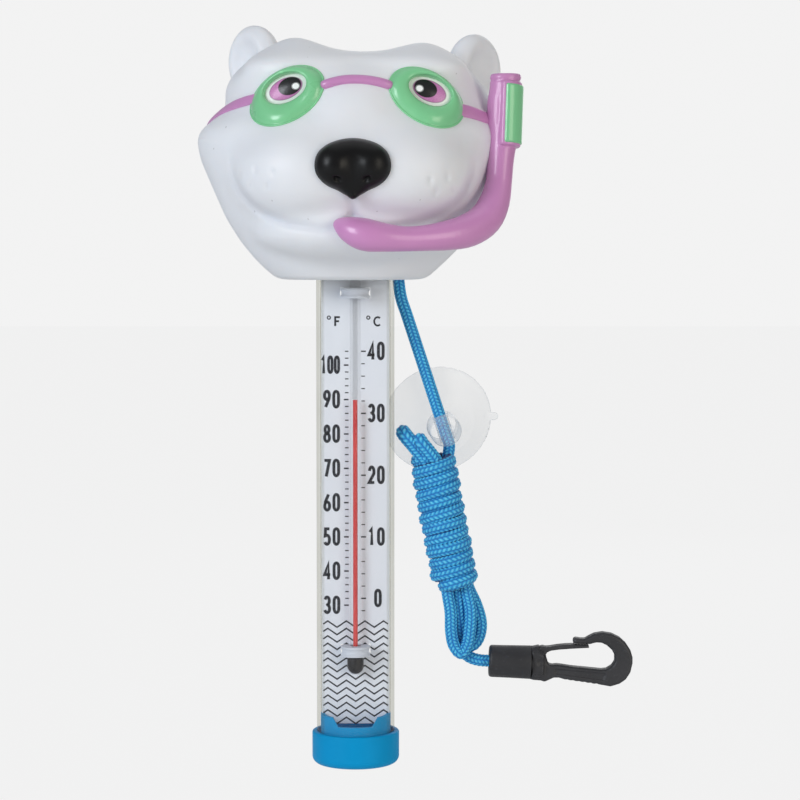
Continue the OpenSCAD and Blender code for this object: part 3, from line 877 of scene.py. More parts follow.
def build_goggles():
    mat = eye_material()
    for side in SIDES:
        middle = onto_head(OPENING_CENTRES[side][None], start=-60.0)[0]
        slope = value_and_slope(head, middle[None], reach=0.8)[1][0]
        # partly the skin's own direction, partly forward, up and outward
        facing = unit(unit(slope) * 0.75 + vec(side * 0.22, -0.93, 0.22) * 0.45)
        place = (side, middle, facing, *tilted_axes(side, OPENING_TILT))
        build_frame(*place)
        build_eye(*place, mat)


BRIDGE = [(-12.6, -34.0, 213.8), (-8.4, -35.0, 215.5), (-3.2, -35.8, 216.8), (2.0, -35.9, 217.0),
          (7.2, -35.4, 216.4), (11.6, -34.6, 215.2), (15.2, -33.6, 213.6)]
BRIDGE_RADIUS = 1.48


def build_bridge():
    """The band between the goggles."""
    line = smooth_line(BRIDGE, 5)
    for _ in range(4):  # lie on the skin
        value, slope = value_and_slope(head, line, reach=0.4)
        move = (value - 0.25) / np.maximum((slope * slope).sum(1), 0.2)
        line = line - move[:, None] * slope * vec(*BACKWARD)
    # the ends go in under the frames
    line[:, 1] += 3.6 * (ease(-8.2, -9.9, line[:, 0]) + ease(10.5, 12.2, line[:, 0]))

    def form(at):
        band = reduce(np.minimum, (rod(at, a, b, BRIDGE_RADIUS) for a, b in zip(line, line[1:])))
        return cut(band, head(at) + 0.7, soft=0.2)

    ob = make("goggle_bridge_band",
              *surface(form, line.min(0) - 2.4, line.max(0) + 2.4, cell_size(0.36)))
    assign(ob, pink)
    fit(ob, "float", "pink_vinyl", "goggle_bridge")


STRAP_HALF, STRAP_THICK, STRAP_SINK = 1.6, 1.0, 0.8
STRAP_WIDENING = 0.38  # extra share of width at the front right


def strap_line():
    """Round the back of the skull from one goggle to the other."""
    line = np.array([vec(46 * math.sin(turn), -38 * math.cos(turn), 206)
                     for turn in np.radians(np.linspace(40, 320, 240))])
    for _ in range(12):
        x, y = line[:, 0], line[:, 1]
        dip = 3.0 * ease(15, 32, x) + 0.9 * ease(24, 35, x) + 0.7 * ease(35, 43, x)
        line[:, 2] = 206.2 - 0.2 * y - dip * ease(34, -16, y)
        gap = hollow_out(skull(line.T), line.T)
        away = unit(np.stack([x / 49 ** 2, y / 40 ** 2, np.zeros(len(line))], 1))
        line = line - gap[:, None] * away
    return line


def build_strap():
    """A raised band, rounded on top and sunk a little below the skin."""
    line = strap_line()
    for _ in range(4):
        value, slope = value_and_slope(head, line, reach=0.3)
        line = line - (value / np.maximum((slope * slope).sum(1), 0.2))[:, None] * slope
    normals = unit(value_and_slope(head, line, reach=1.0)[1])
    kernel = np.hanning(9)
    kernel /= kernel.sum()
    normals = unit(np.stack([np.convolve(np.pad(normals[:, i], 4, mode="edge"), kernel, "valid")
                             for i in range(3)], 1))
    section = []
    for turn in math.pi * np.linspace(0, 1, 17):
        x = -math.cos(turn)
        section.append((STRAP_HALF * np.sign(x) * abs(x) ** 0.8,
                        STRAP_THICK * max(math.sin(turn), 0) ** 0.62))
    section += [(STRAP_HALF, -STRAP_SINK), (-STRAP_HALF, -STRAP_SINK)]
    sections = np.repeat(np.array(section)[None], len(line), 0)
    wide = ease(12, 32, line[:, 0]) * ease(22, -10, line[:, 1])
    sections[:, :, 0] *= (1 + STRAP_WIDENING * wide)[:, None]
    along = unit(np.gradient(line, axis=0))
    across = unit(np.cross(along, normals))
    out = unit(np.cross(across, along))
    points = (line[:, None] + across[:, None] * sections[:, :, :1]
              + out[:, None] * sections[:, :, 1:])
    ob = make("goggle_strap_band", points.reshape(-1, 3),
              ring_faces(len(line), len(section)), sharp=70)
    outward(ob)
    assign(ob, pink)
    fit(ob, "float", "pink_vinyl", "goggle_strap")


build_goggles()
build_bridge()
build_strap()

# ---------------------------------------------------------------- nose
# (x, z) outline seen from the front
NOSE_EDGE = smooth_line([
    (0.2, 199.8), (4.2, 199.3), (8.4, 197.2), (11.2, 194.6), (12.5, 191.0), (12.4, 188.4),
    (11.2, 186.4), (8.6, 184.3), (5.2, 182.5), (2.2, 181.6), (0.2, 180.6), (-1.9, 181.6),
    (-4.9, 182.5), (-8.3, 184.3), (-10.9, 186.4), (-12.2, 188.4), (-12.3, 191.0),
    (-11.0, 194.6), (-8.1, 197.2), (-4.0, 199.3)], 4, closed=True)
NOSE_X = 0.2


def nose(at):
    x, y, z = at
    form = ellipsoid(at, (NOSE_X, -43.2, 190.8), (13.4, 8.2, 8.3))
    for side in SIDES:
        lobe = ellipsoid(at, (side * 5.4 + NOSE_X, -44.9, 191.0), (7.0, 7.8, 7.2))
        form = join(form, lobe, soft=1.8)
    form = join(form, rod(at, (NOSE_X, -43.0, 190.0), (NOSE_X, -46.0, 181.6), 9.0, 3.0), soft=2.0)
    groove = rod(at, (NOSE_X, -54.9, 194), (NOSE_X, -51.6, 183.0), 1.0, 1.4)
    form = cut(form, groove, soft=3.4)
    form = meet(form, outline_distance(x, z, NOSE_EDGE), soft=2.2)
    for side in SIDES:
        turn = math.radians(28 * side)
        off_x, off_z = x - side * 4.2, z - 186.4
        local = (math.cos(turn) * off_x + math.sin(turn) * off_z, y + 51.2,
                 -math.sin(turn) * off_x + math.cos(turn) * off_z)
        form = cut(form, ellipsoid(local, (0, 0, 0), (1.5, 1.6, 0.9)), soft=0.9)
    return cut(form, head(at) + 0.9, soft=0.4)


def build_nose():
    ob = make("bear_nose", *surface(nose, (-13.8, -54.5, 178), (13.8, -34, 202),
                                    cell_size(0.36)))
    fit(ob, "float", "nose_black", "nose")
    assign(ob, moulded("nose_black_gloss", (0.0035, 0.0034, 0.0036), rough=0.36, spread=0.2,
                       shine=0.24))


build_nose()

# ---------------------------------------------------------------- snorkel
# (x, y, z, radius) from the open top on the right, round under the mouth, to the closed tip
PIPE = smooth_line([
    (47.3, -19.5, 221.0, 4.55), (47.0, -20.3, 210.0, 4.5), (46.4, -21.4, 200.5, 4.25),
    (45.6, -22.7, 193.0, 3.9), (44.9, -24.0, 186.5, 4.0), (43.5, -25.8, 180.3, 4.65),
    (40.5, -28.8, 174.9, 5.15), (35.3, -33.0, 171.5, 5.1), (29.0, -37.4, 169.9, 4.5),
    (22.5, -40.6, 169.1, 3.9), (15.4, -43.0, 168.8, 3.75), (8.8, -44.2, 169.3, 4.35),
    (3.6, -44.2, 170.1, 4.85), (-0.4, -43.4, 171.4, 4.0), (-3.2, -42.4, 172.7, 2.4),
    (-4.5, -42.0, 173.2, 1.3)], 4)
PIPE_TOP = 219.9
SLEEVE_LOW, SLEEVE_HIGH = vec(46.45, -22.0, 198.0), vec(47.1, -19.9, 216.2)
SLEEVE_LENGTH = np.linalg.norm(SLEEVE_HIGH - SLEEVE_LOW)
SLEEVE_TURN, SLEEVE_HALF_TURN = math.radians(72), math.radians(76)


def pipe_frame(at):
    """Height along the sleeve, distance from its axis, and turn: 0 in front, 90 to the right."""
    x, y, z = at
    run = unit(SLEEVE_HIGH - SLEEVE_LOW)
    off_x, off_y, off_z = (v - start for v, start in zip(at, SLEEVE_LOW))
    height = off_x * run[0] + off_y * run[1] + off_z * run[2]
    side, back = x - (SLEEVE_LOW[0] + height * run[0]), y - (SLEEVE_LOW[1] + height * run[1])
    return height, np.hypot(side, back), np.arctan2(side, -back)


def sleeve(at, grow, inner, outer, rounding):
    """A curved plate round the outside of the pipe."""
    height, radius, turn = pipe_frame(at)
    off = turn - SLEEVE_TURN
    off = np.abs(np.arctan2(np.sin(off), np.cos(off)))
    return rounded([off * np.maximum(radius, 1.0) - SLEEVE_HALF_TURN * 4.9 - grow,
                    np.abs(height - SLEEVE_LENGTH / 2) - SLEEVE_LENGTH / 2 - grow,
                    np.maximum(radius - outer, inner - radius)], rounding)


def snorkel(at):
    x, y, z = at
    lengths = (rod(at, a[:3], b[:3], a[3], b[3]) for a, b in zip(PIPE, PIPE[1:]))
    form = reduce(lambda a, b: join(a, b, soft=0.3), lengths)
    web = rod(at, (45.3, -20.4, 218.0), (44.6, -23.3, 190.0), 2.3, 2.1)
    tab = rod(at, (44.2, -20.9, 211.0), (44.0, -21.6, 205.5), 2.2)
    form = join(form, join(web, tab, soft=3.0), soft=2.6)
    form = meet(form, z - PIPE_TOP, soft=0.9)
    radius = pipe_frame(at)[1]
    groove = bell(z - (PIPE_TOP - 2.1), 0.32) * (np.abs(radius - 4.75) < 1.4)
    form = form + 0.28 * groove
    bore = np.maximum(np.hypot(x - 47.25, y + 19.65) - 3.1, PIPE_TOP - 7 - z)
    form = cut(form, bore, soft=0.4)
    bed = sleeve(at, grow=0.8, inner=3.4, outer=5.15, rounding=0.4)
    form = join(form, bed, soft=0.5)
    return cut(form, head(at) + 0.7, soft=0.5)


def build_snorkel():
    pipe = make("snorkel_pipe", *surface(snorkel, (-8, -50, 162), (54.5, -13, 223),
                                         cell_size(0.5)))
    fit(pipe, "float", "pink_vinyl", "snorkel_tube")
    assign(pipe, pink)
    plate = make("snorkel_sleeve", *surface(
        lambda at: sleeve(at, grow=0, inner=4.25, outer=5.6, rounding=0.55),
        (40, -30, 195), (55, -12, 221), cell_size(0.34)))
    fit(plate, "float", "green_vinyl", "snorkel_float")
    assign(plate, green)


build_snorkel()


# ---------------------------------------------------------------- printed scale
def cad_box(name):
    """Low and high corners of a CAD node, in millimetres."""
    return [np.array(corner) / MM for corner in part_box(name)]


FACE = cad_box("scale_card")[0][1]  # y of the card's front
INK_THICK, INK_GAP = 0.06, 0.002
NUMBER_HEIGHT = 5.5
WAVE_ROWS, WAVE_PITCH, WAVE_TOP = 14, 2.41, 45.95
WAVE_STEP, WAVE_DROP, WAVE_END = 3.0, 2.05, 10.45


def scale_z(fahrenheit):
    return 128.5 - (100 - fahrenheit) * 1.1062


def celsius_z(celsius):
    return scale_z(32 + 1.8 * celsius)


def arc(x, z, radius_x, radius_z, start, end, count=14):
    return [(x + radius_x * math.cos(math.radians(a)), z + radius_z * math.sin(math.radians(a)))
            for a in np.linspace(start, end, count)]


# pen lines as (points, closed), in a cell one unit wide and one tall; "o" is the degree ring
FIGURES = {
    "0": [(arc(0.5, 0.72, 0.36, 0.24, 0, 180, 12)
           + arc(0.5, 0.28, 0.36, 0.24, 180, 360, 12), True)],
    "1": [([(0.22, 0.76), (0.5, 0.96), (0.5, 0.0)], False)],
    "2": [(arc(0.5, 0.68, 0.35, 0.28, 170, -25) + [(0.12, 0.05), (0.9, 0.05)], False)],
    "3": [(arc(0.47, 0.73, 0.33, 0.23, 160, -80, 12)
           + arc(0.47, 0.27, 0.37, 0.23, 80, -160, 12), False)],
    "4": [([(0.68, 0.0), (0.68, 0.95), (0.08, 0.27), (0.95, 0.27)], False)],
    "5": [([(0.84, 0.95), (0.24, 0.95), (0.19, 0.53)]
           + arc(0.46, 0.31, 0.38, 0.27, 122, -150), False)],
    "6": [([(0.70, 0.96), (0.22, 0.50)] + arc(0.5, 0.28, 0.37, 0.24, 150, -210, 20), False)],
    "7": [([(0.1, 0.94), (0.86, 0.94), (0.36, 0.0)], False)],
    "8": [(arc(0.5, 0.74, 0.30, 0.21, -90, 270, 20)[:-1], True),
          (arc(0.5, 0.27, 0.37, 0.23, -90, 270, 20)[:-1], True)],
    "9": [([(0.30, 0.04), (0.78, 0.50)] + arc(0.5, 0.72, 0.37, 0.24, -30, 330, 20), False)],
    "F": [([(0.86, 0.95), (0.2, 0.95), (0.2, 0.0)], False), ([(0.2, 0.52), (0.74, 0.52)], False)],
    "C": [(arc(0.5, 0.5, 0.38, 0.45, 48, 312, 22), False)],
    "o": [(arc(0.5, 0.5, 0.45, 0.45, 0, 360, 16)[:-1], True)],
}


def ribbon(points, width, closed):
    """The two edges of a pen line, mitred where it is open."""
    points = np.asarray(points, float)
    if closed:
        along = unit(np.roll(points, -1, 0) - np.roll(points, 1, 0))
    else:
        along = unit(np.gradient(points, axis=0))
        before = unit(points[1:-1] - points[:-2])
        along[1:-1] = unit(before + unit(points[2:] - points[1:-1]))
    across = np.stack([-along[:, 1], along[:, 0]], 1) * width / 2
    if not closed:
        across[1:-1] /= np.clip((before * along[1:-1]).sum(1), 0.5, 1)[:, None]
    return points + across, points - across


def print_strips(name, strips, ink):
    """Pen lines, each (points, width, closed), standing a hair proud of the card."""
    points, faces = [], []
    for line, width, closed in strips:
        edges = ribbon(line, width, closed)
        count = len(line)
        # starts of the left and right edges, in front and at the back
        left, right, left_back, right_back = (len(points) + i * count for i in range(4))
        for y in (FACE - INK_THICK, FACE - INK_GAP):
            points += [(x, y, z) for edge in edges for x, z in edge]
        for i in range(count if closed else count - 1):
            j = (i + 1) % count
            faces += [[left + i, right + i, right + j, left + j],
                      [left_back + i, left_back + j, right_back + j, right_back + i],
                      [left + i, left + j, left_back + j, left_back + i],
                      [right + i, right_back + i, right_back + j, right + j]]
        if not closed:
            end = count - 1
            faces += [[left, left_back, right_back, right],
                      [left + end, right + end, right_back + end, left_back + end]]
    ob = make(name, points, faces, smooth=False)
    outward(ob)
    assign(ob, ink)
    fit(ob, "float", "card")


def figures(text, right, z, height, width, gap, pen):
    """Strips for text whose last figure ends at x = right, centred on height z."""
    left = right - len(text) * width - (len(text) - 1) * gap
    strips = []
    for letter in text:
        for points, closed in FIGURES[letter]:
            line = [(left + x * width, z - height / 2 + up * height) for x, up in points]
            strips.append((line, pen, closed))
        left += width + gap
    return strips


def number_strips():
    normal = dict(height=NUMBER_HEIGHT, width=2.1, gap=0.84, pen=0.96)
    narrow = dict(height=NUMBER_HEIGHT, width=1.56, gap=0.56, pen=0.88)
    strips = []
    for degrees in range(30, 101, 10):
        look = normal if degrees < 100 else narrow
        strips += figures(str(degrees), -5.12, scale_z(degrees) + 0.12, **look)
    for degrees in range(0, 41, 10):
        right = 9.2 if degrees else 8.24
        strips += figures(str(degrees), right, celsius_z(degrees) + 0.12, **normal)
    ring = dict(z=143.7, height=1.1, width=1.1, gap=0, pen=0.36)
    letter = dict(z=142.5, height=3.0, gap=0)
    strips += figures("o", -7.9, **ring) + figures("F", -4.6, width=2.3, pen=0.6, **letter)
    strips += figures("o", 4.7, **ring) + figures("C", 8.6, width=2.9, pen=0.58, **letter)
    return strips


def tick_strips():
    strips = []
    for degrees in range(30, 105, 2):
        z = scale_z(degrees)
        left, pen = (-3.35, 0.33) if degrees % 10 else (-3.7, 0.46)
        strips.append(([(left, z), (-2.2, z)], pen, False))
    for degrees in range(-2, 41, 2):
        z = celsius_z(degrees)
        left, right, pen = (1.9, 3.05, 0.31) if degrees % 10 else (1.8, 3.35, 0.44)
        strips.append(([(left, z), (right, z)], pen, False))
    return strips


def wave_strips():
    """Zigzag rows, with a short run at each end."""
    strips = []
    for row in range(WAVE_ROWS):
        top = WAVE_TOP - row * WAVE_PITCH
        peaks = [(-9.0 + WAVE_STEP * i, top - WAVE_DROP * (i % 2)) for i in range(7)]
        line = [(-WAVE_END, top - 1.0)] + peaks + [(WAVE_END, top - 1.0)]
        strips.append((line, 0.46, False))
    return strips


def ink_material():
    mat = Mat("print_ink")
    mat.set(Base_Color=mat.drift(srgb(14, 16, 26), srgb(24, 26, 38), scale=500),
            Roughness=mat.uneven(0.42, 0.6, scale=260),
            Normal=mat.grain(strength=0.3, distance=0.00002, scale=1200))
    return mat


def build_scale():
    ink = ink_material()
    print_strips("scale_figures", number_strips(), ink)
    print_strips("scale_ticks", tick_strips(), ink)
    print_strips("scale_waves", wave_strips(), ink)


build_scale()

# ---------------------------------------------------------------- spirit
STEM_Y = sum(corner[1] for corner in cad_box("glass_stem")) / 2
THREAD_RADIUS, THREAD_LOW = 0.74, 34.6
BULB_RADIUS = 2.62


def spirit_material():
    mat = Mat("red_spirit", rough=0.12)
    # the emission is a painted glow: the red spirit shines faintly though it is no lamp
    mat.set(Base_Color=mat.drift(srgb(206, 48, 48), srgb(220, 66, 62), scale=120),
            Roughness=mat.uneven(0.10, 0.2, scale=300, detail=2),
            Normal=mat.grain(strength=0.1, distance=0.00005, scale=300, detail=2),
            Emission_Color=srgb(232, 70, 66), Emission_Strength=0.05)
    return mat


def build_thread(mat):
    """The red column, built up to the meniscus; on the real thing it stretches with the reading."""
    top = cad_box("spirit_meniscus")[0][2] + 0.4
    rings, around = 90, 32
    points = []
    for z in np.linspace(THREAD_LOW, top, rings):
        for i in range(around):
            turn = 2 * math.pi * i / around
            points.append((THREAD_RADIUS * math.cos(turn),
                           STEM_Y + THREAD_RADIUS * math.sin(turn), z))
    ob = make("spirit_thread", points, ring_faces(rings, around), sharp=60)
    assign(ob, mat)
    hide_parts("spirit_column")
    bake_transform(ob)


def build_bulb():
    low = cad_box("bulb_spirit")[0][2] - 0.45
    bowl = [(BULB_RADIUS * math.sin(a), low + BULB_RADIUS - BULB_RADIUS * math.cos(a))
            for a in np.radians([12, 24, 36, 48, 60, 72, 84, 90])]
    shoulder = [(BULB_RADIUS, 34.1), (2.3, 34.7), (0.9, 35.3), (0.9, 36.2), (0, 36.2)]
    points, faces = lathe([(0, low)] + bowl + shoulder, 64)
    ob = make("bulb_fill", points + vec(0, STEM_Y, 0), faces, sharp=50)
    outward(ob)
    fit(ob, "float", "spirit_dark", "bulb_spirit")
    assign(ob, moulded("dark_spirit", srgb(24, 21, 22), rough=0.4, spread=0.1, shine=0.2))


spirit = spirit_material()
build_thread(spirit)
build_bulb()

# ---------------------------------------------------------------- braided cord
STITCH_PITCH, STITCH_COLUMNS, CORD_AROUND = 1.18, 8, 64
CORD_RADIUS = 1.86
ANCHOR = vec(13.4, 9, 153.8)  # where the cord leaves the head
KNOB = vec(28.6, 11.8, 107.3)  # middle of the suction cup's knob
DOWN = unit(KNOB - ANCHOR)
LEAD_END = KNOB + 5.5 * DOWN
HANK_TOP, HANK_LOW = vec(24.5, 8.8, 99), vec(32.4, 8.8, 56.2)
HANK_AXIS = unit(HANK_TOP - HANK_LOW)
HANK_LENGTH = np.linalg.norm(HANK_TOP - HANK_LOW)
HANK_RIGHT = unit(np.cross(BACKWARD, HANK_AXIS))
HANK_BACK = unit(np.cross(HANK_AXIS, HANK_RIGHT))
HANK_TURNS = 11.25
# (x, y, z) of the strands that come out of the hank
LOOP_FRONT = [
    (29.2, 6.6, 64), (29.6, 6.2, 55.2), (30.7, 5.8, 48), (30.9, 5.6, 41.5), (31.9, 5.6, 37),
    (34.1, 5.7, 34.6), (36.1, 6.0, 37.3), (37.0, 6.2, 42.2), (37.2, 6.6, 48.7),
    (35.9, 7.0, 55.2), (34.6, 7.6, 64)]
LOOP_BACK = [
    (34.6, 9.4, 64), (36.5, 9.6, 55.8), (39.1, 9.7, 50), (40.6, 9.6, 44.8), (40.6, 9.5, 41.5),
    (39.4, 9.5, 38), (37.2, 9.8, 36.3), (35.0, 9.7, 39.4), (34.0, 8.8, 45.4), (33.4, 8.5, 51.5),
    (33.0, 8.9, 57.5), (32.6, 9.8, 64)]
TAIL = [
    (31.2, 11.0, 64), (32.0, 11.2, 55.2), (31.9, 11.6, 47), (31.5, 11.5, 41.5),
    (32.5, 10.9, 37.4), (34.4, 10.0, 34.9), (37.0, 9.2, 32.7), (40.0, 9.0, 31.75),
    (43.25, 9.0, 31.5), (48.2, 9.0, 31.32)]
BIGHT_OUTER = [
    (26.0, 6.8, 88), (23.0, 6.4, 96.4), (19.0, 6.2, 101.8), (16.2, 6.5, 105.1),
    (15.35, 8.6, 106.3), (16.2, 10.8, 105.1), (19.2, 11.0, 101.4), (23.6, 10.6, 95.8),
    (26.6, 10.2, 88)]
BIGHT_INNER = [
    (27.6, 6.0, 88), (26.2, 5.4, 96.2), (23.2, 4.8, 100.7), (21.3, 4.9, 102.9),
    (20.7, 6.3, 103.9), (21.3, 7.8, 102.7), (23.2, 8.3, 99.6), (25.8, 8.6, 95.2),
    (27.4, 8.8, 88)]
LOOP_SHADE, BIGHT_SHADE = (1.75, 2.35), (1.95, 2.6)  # distances of full and no shade


def braid_material():
    """Blue braid with painted light and shade: stitch tops painted lighter, the gaps between
    darker; rest is (along, around, height).
    """
    mat = Mat("blue_braid", rough=0.62)
    stitch = mat.value("stitch")
    rest = mat.coords("rest")
    fibre = mat.noise(scale=3.2, roughness=0.6, space=rest, stretch=(1.0, 5.0, 1.0))
    patch = mat.noise(scale=0.35, detail=2, space=rest)
    # painted light and shade: deep blue in the gaps between stitches, pale blue on the stitch tops
    tone = mat.ramp(stitch, [(0.0, srgb(8, 44, 140)), (0.3, srgb(8, 92, 186)),
                             (0.6, srgb(14, 146, 216)), (0.88, srgb(72, 196, 240)),
                             (1.0, srgb(124, 220, 250))])
    tone = mat.mix(mat.remap(fibre, high=0.35), tone, srgb(96, 204, 242))
    tone = mat.mix(mat.remap(patch, high=0.25), tone, srgb(14, 98, 186))
    # painted shade: dark blue where turns and strands press together
    tone = mat.mix(mat.value("shade"), tone, srgb(38, 36, 104))
    mat.set(Base_Color=tone, Roughness=mat.remap(fibre, low=0.5, high=0.7),
            Normal=mat.bump(fibre, strength=0.5, distance=0.00008),
            Sheen_Weight=0.15, Sheen_Roughness=0.4, Specular_IOR_Level=0.35)
    return mat


braid = braid_material()


def cord(name, line, radius=CORD_RADIUS, spacing=0.24, dark=None):
    """A braided cord: rows of slanting stitches, neighbours half a stitch apart."""
    line, length = resample(line, spacing)
    along = unit(np.gradient(line, axis=0))
    front = vec(0, -1, 0)
    fronts = []
    for direction in along:  # carry the front round the bends without twist
        front = unit(front - direction * (front @ direction))
        fronts.append(front)
    fronts = np.array(fronts)
    sides = np.cross(along, fronts)
    turns = np.linspace(0, 2 * math.pi, CORD_AROUND, endpoint=False)[None, :]
    length = length[:, None]
    column = turns / (2 * math.pi) * STITCH_COLUMNS
    across = column - np.floor(column) - 0.5
    odd = np.mod(np.floor(column), 2)
    row = length / STITCH_PITCH + 0.5 * odd + (odd * 2 - 1) * 0.62 * across
    down = row - np.floor(row) - 0.5
    height = np.clip(1 - np.abs(across * 1.9) ** 2.6, 0, 1)
    height = (height * np.clip(1 - np.abs(down * 1.95) ** 2.4, 0, 1)) ** 0.7
    bulge = radius - 0.25 + 0.42 * height
    normals = (fronts[:, None] * np.cos(turns)[:, :, None]
               + sides[:, None] * np.sin(turns)[:, :, None])
    points = line[:, None] + normals * bulge[:, :, None]
    shade = dark(line, normals) if dark else np.zeros(height.shape)
    rest = np.stack(np.broadcast_arrays(length, turns * radius, height), -1)
    ob = make(name, points.reshape(-1, 3), ring_faces(len(line), CORD_AROUND),
              {"rest": rest.reshape(-1, 3), "stitch": height.ravel(), "shade": shade.ravel()})
    outward(ob)
    assign(ob, braid)
    return ob


def build_lead():
    """The straight cord from the head to the cup, and the short piece on into the hank."""
    stop = LEAD_END - 3.0 * DOWN
    line = smooth_line([ANCHOR, ANCHOR + DOWN * 12, ANCHOR + DOWN * 26, ANCHOR + DOWN * 38, stop])
    line = smooth_line(np.vstack([[ANCHOR + vec(0, 0, 5.5)], line[4::6]]), 10)
    lead = cord("cord_lead_braid", np.vstack([line, [stop]]))
    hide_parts("cord_lead")
    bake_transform(lead)
    line = smooth_line([LEAD_END - 3.05 * DOWN, LEAD_END, LEAD_END + vec(-0.35, -0.6, -3.6),
                        LEAD_END + vec(-1.5, -1.8, -7.6), vec(27.6, 8.8, 89)], 10)
    entry = cord("cord_entry_braid", line)
    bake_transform(entry)


def wrap_dark(line, normals):
    """Shade where one turn presses on the next, and on the side facing the core."""
    foot = HANK_LOW + np.outer((line - HANK_LOW) @ HANK_AXIS, HANK_AXIS)
    sideways = np.abs(normals @ HANK_AXIS)
    outwards = np.einsum("ijk,ik->ij", normals, unit(line - foot))
    pressed = ease(0.80, 0.985, sideways) * ease(-0.7, 0.1, outwards)
    return np.maximum(pressed, ease(0.0, -0.6, outwards))


def build_wraps():
    """The coiled turns, slightly uneven, tucked in at both ends."""
    t = np.linspace(0, 1, 900)
    turn = 2 * math.pi * (HANK_TURNS * t) + math.radians(-200)
    radius = 5.45 + 0.16 * np.sin(turn * 0.37 + 1.0) + 0.10 * np.sin(turn * 1.13)
    radius = radius - 2.4 * (1 - ease(0, 0.028, t)) - 2.4 * ease(0.972, 1, t)
    wobble = 0.20 * np.sin(turn * 0.52) + 0.12 * np.sin(turn * 1.9 + 2)
    height = 0.4 + (HANK_LENGTH - 0.9) * t + wobble * np.sin(math.pi * t)
    line = (HANK_LOW + height[:, None] * HANK_AXIS
            + (radius * np.cos(turn))[:, None] * HANK_RIGHT
            + (radius * np.sin(turn))[:, None] * HANK_BACK)
    ob = cord("cord_wraps_braid", line, radius=2.11, spacing=0.26, dark=wrap_dark)
    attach(ob, "hank")
    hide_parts("cord_wraps", "cord_hank")


def build_core():
    """A plain core that closes the gaps between the turns."""
    top = HANK_LENGTH - 4.4
    profile = [(0, 3.4), (5.0, 3.4), (5.9, 4.6), (5.9, top - 1.2), (5.0, top), (0, top)]
    points, faces = lathe(profile, 48)
    points = points @ np.array([HANK_RIGHT, HANK_BACK, HANK_AXIS]) + HANK_LOW
    ob = make("cord_hank_core", points, faces, sharp=50)
    outward(ob)
    assign(ob, moulded("core_blue", srgb(14, 62, 158), rough=0.7, spread=0.1, grain=1600,
                       depth=0.00006, shine=0.2))
    fit(ob, "hank", "cord_blue")


def strand(name, points, radius, others, shade):
    """A cord with shade painted darker where it lies against others."""
    cloud = np.vstack([smooth_line(other, 6) for other in others])[::2]

    def dark(line, normals):
        nearby = np.zeros(normals.shape[:2])
        skin = line[:, None] + normals * 1.95
        for spot in cloud:
            distance = np.linalg.norm(skin - spot, axis=2)
            nearby = np.maximum(nearby, 1 - ease(*shade, distance))
        return nearby * 0.85

    return cord(name, smooth_line(points, 10), radius, dark=dark)


def build_strands():
    for name, points, radius, others, shade in (
            ("cord_loop_front", LOOP_FRONT, 1.9, [LOOP_BACK, TAIL], LOOP_SHADE),
            ("cord_loop_back", LOOP_BACK, 1.9, [LOOP_FRONT, TAIL], LOOP_SHADE),
            ("cord_bight_outer", BIGHT_OUTER, 2.3, [BIGHT_INNER], BIGHT_SHADE),
            ("cord_bight_inner", BIGHT_INNER, 2.3, [BIGHT_OUTER], BIGHT_SHADE)):
        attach(strand(name, points, radius, others, shade), "hank")
    tail = strand("cord_tail_braid", TAIL, CORD_RADIUS, [LOOP_FRONT, LOOP_BACK], LOOP_SHADE)
    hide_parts("cord_tail")
    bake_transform(tail)


build_lead()
build_wraps()
build_core()
build_strands()

# ---------------------------------------------------------------- suction cup
CUP_AXIS = unit(vec(-0.1811, 0.9586, 0.2199))  # from the knob towards the cup's mouth
CUP_RIGHT = unit(np.cross(CUP_AXIS, (0, 0, 1)))
CUP_UP = unit(np.cross(CUP_RIGHT, CUP_AXIS))
# (radius, height along the axis)
CUP_PROFILE = round_corners([
    (0, -3.5), (2.3, -3.5), (3.0, -4.7), (4.4, -4.7), (5.15, -3.9), (5.15, 3.0), (4.6, 4.4),
    (7.4, 5.6), (12.2, 7.2), (17.3, 9.7), (18, 10.25), (17.9, 10.6), (16.8, 10.55),
    (12.6, 8.9), (7, 7.5), (0, 7.2)], 0.5)


def cup(at):
    x, y, z = (v - middle for v, middle in zip(at, KNOB))
    height, right, up = (x * way[0] + y * way[1] + z * way[2]
                         for way in (CUP_AXIS, CUP_RIGHT, CUP_UP))
    radius = np.sqrt(right * right + up * up)
    form = outline_distance(radius, height, CUP_PROFILE)
    tab = np.hypot(np.maximum(np.abs(right - 18.0) - 1.0, 0), up - 0.9) - 1.25
    form = join(form, np.maximum(tab, np.abs(height - 10.1) - 0.42), soft=0.5)
    form = form - 0.16 * bell(radius - 11.5, 0.5) * (height < 7.6)  # a raised ring
    cord_hole = rod(at, KNOB - DOWN * 9, KNOB + DOWN * 7.4, 2.45)
    return cut(form, cord_hole, soft=0.4)


def build_cup():
    ob = make("suction_cup_clear", *surface(cup, (8, 4, 85), (50, 28, 130),
                                            cell_size(0.42), settle=2))
    fit(ob, "cup", "clear_pvc", "suction_cup")
    # the edge tint is painted shade where the cup is seen edge on
    assign(ob, see_through("clear_pvc", (0.972, 0.976, 0.978), painted_edge_shade=(0.60, 0.66, 0.72),
                           rough=0.12, milk=0.10, ior=1.45, shine=0.9))


build_cup()

# ---------------------------------------------------------------- snap hook
HOOK_Y = 9
